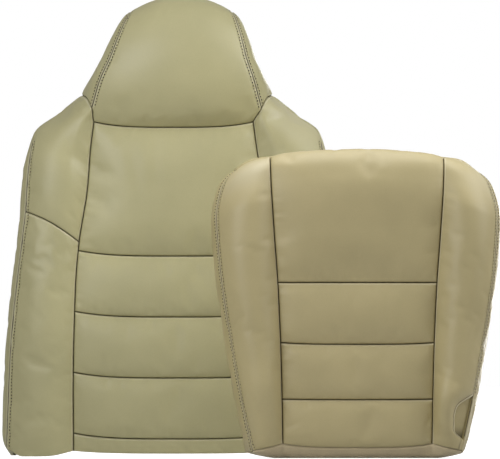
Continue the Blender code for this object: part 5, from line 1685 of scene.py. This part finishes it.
class SEATCOVER_OT_stage(bpy.types.Operator):
    """Sets the camera, the soft light, the pale floor and the finishes"""

    bl_idname = "seatcover.stage"
    bl_label = "Stage and finishes"

    def execute(self, context):
        scene = context.scene
        values = scene.seat_covers.stage
        scene.view_settings.view_transform = "Standard"
        make_finishes(scene.seat_covers.colours)
        self.add_camera(scene, values)
        self.add_world(scene, values)
        for cover in COVERS:
            LIT[cover] = bpy.data.collections.new(f"{cover}_lit")
        for node, obj in frame["nodes"].items():
            LIT["seat_cover" if node in SEAT_NODES else "back_cover"].objects.link(obj)
        floor = self.add_floor(values)
        for cover in COVERS:
            LIT[cover].objects.link(floor)
        back, seat = (BACK_X, *BACK_AIM), (SEAT_X, *SEAT_AIM)
        narrow, wide = NARROW_SPREAD, WIDE_SPREAD
        for lamp in (
            ("back_cover", "key", (-1.10, -1.45, 1.15), back, values.back_key, narrow),
            ("back_cover", "fill", (1.20, -0.60, 1.40), back, values.back_fill, narrow),
            ("back_cover", "top", (0.00, -0.50, 1.75), back, values.back_top, wide),
            ("seat_cover", "key", (1.35, -0.30, 1.05), seat, values.seat_key, wide),
            ("seat_cover", "fill", (-0.95, -1.30, 0.90), seat, values.seat_fill, wide),
            ("seat_cover", "top", (0.20, -0.10, 1.45), seat, values.seat_top, wide),
            ("back_cover", "rear", (0.30, 2.00, 0.50), back, values.rear, narrow),
            ("seat_cover", "rear", (0.60, 2.00, 0.30), seat, values.rear, narrow),
        ):
            self.add_lamp(scene, *lamp)
        return {"FINISHED"}

    @staticmethod
    def add_camera(scene, values):
        data = bpy.data.cameras.new("photo_camera")
        data.sensor_width = 36
        camera = bpy.data.objects.new("photo_camera", data)
        scene.collection.objects.link(camera)
        aim = Vector((values.aim_side, values.aim_depth, values.aim_height))
        ahead = values.aim_depth - values.camera_distance
        camera.location = (values.aim_side, ahead, values.camera_height)
        look = aim - camera.location
        camera.rotation_euler = look.to_track_quat("-Z", "Y").to_euler()
        data.lens = data.sensor_width * look.length / values.frame_width
        data.clip_end = 100
        scene.camera = camera

    @staticmethod
    def add_world(scene, values):
        world = bpy.data.worlds.new("studio")
        scene.world = world
        world.use_nodes = True
        tree = world.node_tree
        background = tree.nodes["Background"]
        background.inputs["Color"].default_value = (1, 1, 1, 1)
        rays = tree.nodes.new("ShaderNodeLightPath")
        seen = math_node(tree, "MAXIMUM", rays.outputs["Is Camera Ray"], rays.outputs["Is Transmission Ray"])
        strength = ramp_node(tree, seen, 0, 1, values.ambient, 1.0)
        tree.links.new(strength, background.inputs["Strength"])

    @staticmethod
    def add_floor(values):
        """A pale floor that shows as white but for the covers' soft shadow."""
        ways = ((-1, -1), (1, -1), (1, 1), (-1, 1))
        corners = [(x * FLOOR_HALF, y * FLOOR_HALF, FLOOR_LEVEL) for x, y in ways]
        material = bpy.data.materials.new("pale_floor")
        material.use_nodes = True
        tree = material.node_tree
        tree.nodes.clear()
        output = tree.nodes.new("ShaderNodeOutputMaterial")
        plain = tree.nodes.new("ShaderNodeBsdfDiffuse")
        plain.inputs["Color"].default_value = FLOOR_BOUNCE
        shown = tree.nodes.new("ShaderNodeBsdfDiffuse")
        shown.inputs["Color"].default_value = FLOOR_SHOWN
        glow = tree.nodes.new("ShaderNodeEmission")
        glow.inputs["Strength"].default_value = values.floor_glow
        both = tree.nodes.new("ShaderNodeAddShader")
        choose = tree.nodes.new("ShaderNodeMixShader")
        rays = tree.nodes.new("ShaderNodeLightPath")
        for source, socket in (
            (shown.outputs[0], both.inputs[0]),
            (glow.outputs[0], both.inputs[1]),
            (rays.outputs["Is Camera Ray"], choose.inputs[0]),
            (plain.outputs[0], choose.inputs[1]),
            (both.outputs[0], choose.inputs[2]),
            (choose.outputs[0], output.inputs["Surface"]),
        ):
            tree.links.new(source, socket)
        floor = new_piece("studio_floor", corners, [(0, 1, 2, 3)], [material])
        return floor

    @staticmethod
    def add_lamp(scene, cover, task, location, aim, power, spread):
        """A large soft lamp that lights one cover and throws only that cover's shadow."""
        data = bpy.data.lights.new(f"{cover}_{task}_lamp", "AREA")
        data.shape = "DISK"
        data.size = LAMP_WIDTH
        data.energy = power
        data.spread = spread
        lamp = bpy.data.objects.new(data.name, data)
        lamp.location = location
        lamp.rotation_euler = (Vector(aim) - Vector(location)).to_track_quat("-Z", "Y").to_euler()
        lamp.light_linking.receiver_collection = LIT[cover]
        lamp.light_linking.blocker_collection = LIT[cover]
        scene.collection.objects.link(lamp)


class SEATCOVER_OT_settle(bpy.types.Operator):
    """Lets the leather settle over its filling"""

    bl_idname = "seatcover.settle"
    bl_label = "Settle the leather"

    def execute(self, context):
        leather = [cut for cut in ALL_CUTS if cut.finish == "leather"]
        settle_leather(leather, context.scene.seat_covers.settle)
        return {"FINISHED"}


class SEATCOVER_OT_back_insert(bpy.types.Operator):
    """Builds the pleats and the upper insert of the back cover"""

    bl_idname = "seatcover.back_insert"
    bl_label = "Back insert"

    def execute(self, context):
        return build_group(context, "back_insert")


class SEATCOVER_OT_back_sides(bpy.types.Operator):
    """Builds the bolsters, shoulders and gussets of the back cover"""

    bl_idname = "seatcover.back_sides"
    bl_label = "Back sides"

    def execute(self, context):
        return build_group(context, "back_sides", "back_side_stitches")


class SEATCOVER_OT_head(bpy.types.Operator):
    """Builds the head of the back cover"""

    bl_idname = "seatcover.head"
    bl_label = "Head"

    def execute(self, context):
        return build_group(context, "head", "head_stitches")


class SEATCOVER_OT_rear(bpy.types.Operator):
    """Builds the rear panel with its two zips"""

    bl_idname = "seatcover.rear"
    bl_label = "Rear panel and zips"

    def execute(self, context):
        self.build_panel()
        self.build_rows(context.scene.seat_covers.seams)
        for side, way in (("right", 1), ("left", -1)):
            self.build_tape(f"zip_tape_inner_{side}", way * ZIP_FROM_MIDDLE, -way, 0.0)
            self.build_tape(f"zip_tape_outer_{side}", way * ZIP_FROM_MIDDLE, way, 0.5)
            finish_nodes("slider", f"zip_slider_{side}", f"zip_pull_{side}")
        return {"FINISHED"}

    @staticmethod
    def build_panel():
        """The flat rear panel, slotted from its hem for the zips."""
        hem_half = REAR_SEAM[0][0] - REAR_CORNER_CUT
        top, straight = NECK_REAR[2], ZIP_TOP + 0.02
        straight_half = np.interp(straight, REAR_SEAM[:, 2], REAR_SEAM[:, 0])
        levels = joined(np.linspace(REAR_HEM_LIFT, ZIP_TOP, 50), np.linspace(ZIP_TOP, top, 75))
        slot_inner, slot_outer = ZIP_FROM_MIDDLE - ZIP_SLOT / 2, ZIP_FROM_MIDDLE + ZIP_SLOT / 2
        inside = np.linspace(0, slot_inner, 32)
        outside = 1 - (1 - np.linspace(0, 1, 28)) ** 1.6
        rows = []
        for level in levels:
            drop = REAR_HEM_LIFT * (1 - smooth_step(0, 0.06, level - REAR_HEM_LIFT))
            half = np.interp(level - drop, REAR_SEAM[:, 2], REAR_SEAM[:, 0])
            scale = half / straight_half if level > straight else 1.0
            reach = half - scale * slot_outer
            right = np.concatenate([scale * inside, scale * slot_outer + reach * outside])
            x = np.concatenate([-right[:0:-1], right])
            corner = np.clip((np.abs(x) - hem_half) / REAR_CORNER_CUT, 0, 1)
            rows.append(np.column_stack([x, np.zeros(len(x)), level - drop * corner]))
        grid = leaned(np.array(rows))
        columns = grid.shape[1]
        middle = columns // 2
        keep = np.ones((len(levels) - 1, columns - 1), bool)
        below = levels[1:] <= ZIP_TOP + FIT_GAP
        keep[below, middle + len(inside) - 1] = False
        keep[below, middle - len(inside)] = False
        distances = edge_distances(grid)
        edge = np.minimum(np.minimum(distances["left"], distances["right"]), distances["top"])
        from_zip = np.abs(np.abs(grid[..., 0]) - ZIP_FROM_MIDDLE)
        # The waves fade towards the edges, the zips and the hem
        calm = smooth_step(0, 0.05, edge) * smooth_step(0.004, 0.03, from_zip)
        calm = calm * smooth_step(0.01, 0.06, distances["bottom"])
        wave = REAR_WAVE * np.sin(grid[..., 0] * 21 + 0.6) * np.sin(grid[..., 2] * 17)
        outer = grid.copy()
        outer[..., 1] += calm * wave + roll_in(edge, *REAR_ROLL)
        step = into_back(grid)
        inner = grid + VINYL_LAYER * step / step[..., 1:2]
        outer, inner = back_to_row(outer), back_to_row(inner)
        obj = layer_piece("rear_panel_vinyl", outer, inner, ("vinyl", "backing"), keep)
        # Painted shade along the rolled edge of the rear panel
        set_outer_values(obj, "seam", bell(edge, 0, REAR_SHADE))
        mount_piece(obj, "back_cover", "vinyl", "rear_panel")

    @staticmethod
    def build_rows(seams):
        """The rows of stitches along the rear panel's hem and round its zips."""
        beside = ZIP_SLOT / 2 + ZIP_ROW_OFFSET
        over, hem = ZIP_TOP + ZIP_ROW_OFFSET, REAR_HEM_LIFT + HEM_ROW_OFFSET
        near, far = ZIP_FROM_MIDDLE - beside, ZIP_FROM_MIDDLE + beside
        ends = [((-near + 0.004, hem), (near - 0.004, hem))]
        for way in (-1, 1):
            ends.append(((way * near, hem), (way * near, over)))
            ends.append(((way * far, hem), (way * far, over)))
            ends.append(((way * near, over), (way * far, over)))
        runs = []
        for (x0, z0), (x1, z1) in ends:
            line = np.linspace((x0, 0, z0), (x1, 0, z1), 40)
            runs.append((back_to_row(line), np.tile((0.0, 1.0, 0.0), (40, 1)), (0, 1)))
        stitch_piece("rear_stitches", runs, seams, "back_cover")

    @staticmethod
    def build_tape(node, middle, way, phase):
        """One half of a zip: a woven tape with a row of teeth along its edge."""
        inner = VINYL_LAYER + FIT_GAP
        edge = BEAD_GAP / 2
        low, high = SLIDER_REST - SLIDER_LENGTH, ZIP_TOP - 2 * FIT_GAP
        levels = np.linspace(low, high, 60)
        across = np.linspace(edge, edge + TAPE_WIDTH, 6)
        x, z = np.meshgrid(middle + way * across, levels)
        front = np.stack([x, np.full(x.shape, inner), z], axis=-1)
        back = np.stack([x, np.full(x.shape, inner + TAPE_LAYER), z], axis=-1)
        tape = layer_piece(f"{node}_cloth", back_to_row(front), back_to_row(back), ("tape", "tape"))
        mount_piece(tape, "back_cover", "tape", node)
        teeth_at = np.arange(low + TOOTH_PITCH * (1 + phase), high - TOOTH_PITCH, TOOTH_PITCH)
        count = len(teeth_at)
        reach = BEAD_WIDTH + BEAD_GAP * 0.4
        centre_x = middle + way * (edge + BEAD_WIDTH - reach / 2)
        centres = np.column_stack([np.full(count, centre_x), np.full(count, inner - BEAD_RISE / 2), teeth_at])
        along = np.tile((1.0, 0, 0), (count, 1))
        out = np.tile((0, 1.0, 0), (count, 1))
        places, shape = capsules(back_to_row(centres), along, out, reach, BEAD_RISE * 0.42, 8)
        teeth = new_piece(f"{node}_teeth", places, shape, [FINISHES["plastic"]])
        mount_piece(teeth, "back_cover", "tape")


class SEATCOVER_OT_cushion_insert(bpy.types.Operator):
    """Builds the pleats and the front insert of the cushion cover"""

    bl_idname = "seatcover.cushion_insert"
    bl_label = "Cushion insert"

    def execute(self, context):
        return build_group(context, "cushion_insert")


class SEATCOVER_OT_cushion_sides(bpy.types.Operator):
    """Builds the bolsters, gussets and front boxing of the cushion cover"""

    bl_idname = "seatcover.cushion_sides"
    bl_label = "Cushion sides"

    def execute(self, context):
        return build_group(context, "cushion_sides", "cushion_side_stitches")


class SEATCOVER_OT_cushion_rear(bpy.types.Operator):
    """Builds the fabric strip along the cushion cover's rear edge, and the lined side opening"""

    bl_idname = "seatcover.cushion_rear"
    bl_label = "Cushion rear edge"

    def execute(self, context):
        seams = context.scene.seat_covers.seams
        self.build_strip()
        self.build_lining()
        on_bolster = (NOTCH_AT[1] * NOTCH_END, NOTCH_END)
        on_gusset = (NOTCH_AT[1] * OUTER_NOTCH_END, OUTER_NOTCH_END)
        edge_strip("notch_binding_leather", "seat_bolster_right", "right", on_bolster, seams, "notch_binding")
        edge_strip("notch_edge_leather", "seat_gusset_right", "left", on_gusset, seams)
        return {"FINISHED"}

    @staticmethod
    def build_strip():
        width, depth = length_of(REAR_LINE), length_of(STRIP_EDGE)
        across, along = panel_stations(width), panel_stations(depth)
        edge = at_shares(STRIP_EDGE, along)
        line = at_shares(REAR_LINE, across)
        knots = shares_along(STRIP_EDGE_KNOTS)
        fall = spline(knots, np.array((1, 0.3, 0, 0, 0))[:, None], along)[:, 0]
        fall = np.clip(fall, 0, 1)
        end = REAR_LINE[-1]
        reach = np.abs(line[:, 0] / end[0])
        flat_share = 0.75
        corner = np.clip((reach - flat_share) / (1 - flat_share), 0, 1) ** 1.5
        grid = np.empty((len(along), len(across), 3))
        grid[..., 0] = np.outer(edge[:, 0] / end[0], line[:, 0])
        grid[..., 1] = np.outer(edge[:, 1] / end[1], line[:, 1])
        grid[..., 2] = np.outer(fall, line[:, 2]) + np.outer(edge[:, 2] - fall * end[2], corner)
        distances = edge_distances(grid)
        into = into_seat(grid)
        tuck = roll_in(distances["bottom"], *TUCK_SEAM_ROLL)
        for side in ("left", "right"):
            tuck = tuck + roll_in(distances[side], *TUCK_SIDE_ROLL)
        outer = seat_to_row(grid + tuck[..., None] * into)
        inner = seat_to_row(grid + np.maximum(FABRIC_LAYER, tuck + TUCK_LEAST)[..., None] * into)
        obj = layer_piece("rear_tuck_strip_fabric", outer, inner, ("fabric", "backing"))
        mount_piece(obj, "seat_cover", "fabric", "rear_tuck_strip")

    @staticmethod
    def build_lining():
        """The leather lining behind the side opening."""
        panels = {cut.node: cut for cut in CUTS["cushion_sides"]}
        across = np.array((0.0, 0.28, 0.5, 1.0))
        walls = panels["seat_bolster_right"].surface(across, np.linspace(0, NOTCH_END, 40))
        sides = panels["seat_gusset_right"].surface(across, np.linspace(0, OUTER_NOTCH_END, 40))
        under = LEATHER_LAYER + FIT_GAP
        runs = (
            (walls[:, 2], under),
            (walls[:, 3], under),
            ((walls[:, 3] + sides[:, 0]) / 2, LINING_SINK),
            (sides[:, 0], under),
            (sides[:, 1], under),
        )
        ribs = np.stack([wall + depth * into_seat(wall) for wall, depth in runs], axis=1)
        grid = np.array([curve_through(rib, np.linspace(0, 1, 30)) for rib in ribs])
        outer, inner = seat_to_row(grid), seat_to_row(grid + LINING_LAYER * into_seat(grid))
        obj = layer_piece("notch_lining_leather", outer, inner, ("cushion", "backing"))
        # Painted shade: the lining is darkened towards the bottom of the opening
        rows = np.linspace(0, 1, len(grid))[:, None] * np.ones(grid.shape[:2])
        shade = 0.8 * (1 - smooth_step(NOTCH_AT[1], NOTCH_AT[3], rows))
        set_outer_values(obj, "seam", shade)
        mount_piece(obj, "seat_cover", "leather", "notch_lining")


class SEATCOVER_OT_listings(bpy.types.Operator):
    """Builds the listing sleeves, and finishes the wires and hook strips"""

    bl_idname = "seatcover.listings"
    bl_label = "Listings and hooks"

    def execute(self, context):
        back_rail = insert_rail(PLEAT_LEVELS[0] + LISTING_MARGIN, INSERT_TOP - LISTING_MARGIN)
        seat_rail = at_shares(SEAT_INNER, np.linspace(*SEAT_LISTING_SPAN, SEAM_POINTS))
        inside = np.linspace(*CROSS_LISTING_SPAN, SEAM_POINTS)
        for cover, label, rail, cross, to_row in (
            ("back_cover", "back_listing", back_rail, PLEAT_LINES[3], back_to_row),
            ("seat_cover", "seat_listing", seat_rail, SEAT_LINES[3], seat_to_row),
        ):
            for place, path, side in (
                ("right", rail, SIDEWAYS),
                ("left", mirrored(rail), SIDEWAYS),
                ("cross", at_shares(cross, inside), UPWARDS),
            ):
                path = path + LEATHER_LAYER * BACKWARDS
                sleeve_piece(f"{label}_{place}_sleeve", path, side, BACKWARDS, to_row, cover)
            finish_nodes("steel", *[f"{label}_{place}_wire" for place in ("left", "right", "cross")])
        finish_nodes("plastic", "back_hook_front", "back_hook_rear")
        finish_nodes("plastic", *[f"seat_hook_{place}" for place in ("front", "rear", "left", "right")])
        return {"FINISHED"}


STEPS = (
    SEATCOVER_OT_stage,
    SEATCOVER_OT_settle,
    SEATCOVER_OT_back_insert,
    SEATCOVER_OT_back_sides,
    SEATCOVER_OT_head,
    SEATCOVER_OT_rear,
    SEATCOVER_OT_cushion_insert,
    SEATCOVER_OT_cushion_sides,
    SEATCOVER_OT_cushion_rear,
    SEATCOVER_OT_listings,
)


class SEATCOVER_PT_sidebar(bpy.types.Panel):
    """Lists the steps that dress the seat covers"""

    bl_label = "Seat covers"
    bl_space_type = "VIEW_3D"
    bl_region_type = "UI"
    bl_category = "Seat covers"

    def draw(self, context):
        for step in STEPS:
            self.layout.operator(step.bl_idname)


GROUPS = (SeamSizes, SettleSizes, FinishColours, StageSizes, SeatCoverSettings)
CLASSES = (*GROUPS, *STEPS, SEATCOVER_PT_sidebar)


def register():
    for item in CLASSES:
        bpy.utils.register_class(item)
    bpy.types.Scene.seat_covers = PointerProperty(type=SeatCoverSettings)


def unregister():
    del bpy.types.Scene.seat_covers
    for item in reversed(CLASSES):
        bpy.utils.unregister_class(item)


def main():
    register()
    bpy.ops.seatcover.stage()
    bpy.ops.seatcover.settle()
    bpy.ops.seatcover.back_insert()
    bpy.ops.seatcover.back_sides()
    bpy.ops.seatcover.head()
    bpy.ops.seatcover.rear()
    bpy.ops.seatcover.cushion_insert()
    bpy.ops.seatcover.cushion_sides()
    bpy.ops.seatcover.cushion_rear()
    bpy.ops.seatcover.listings()


if __name__ == "__main__":
    main()
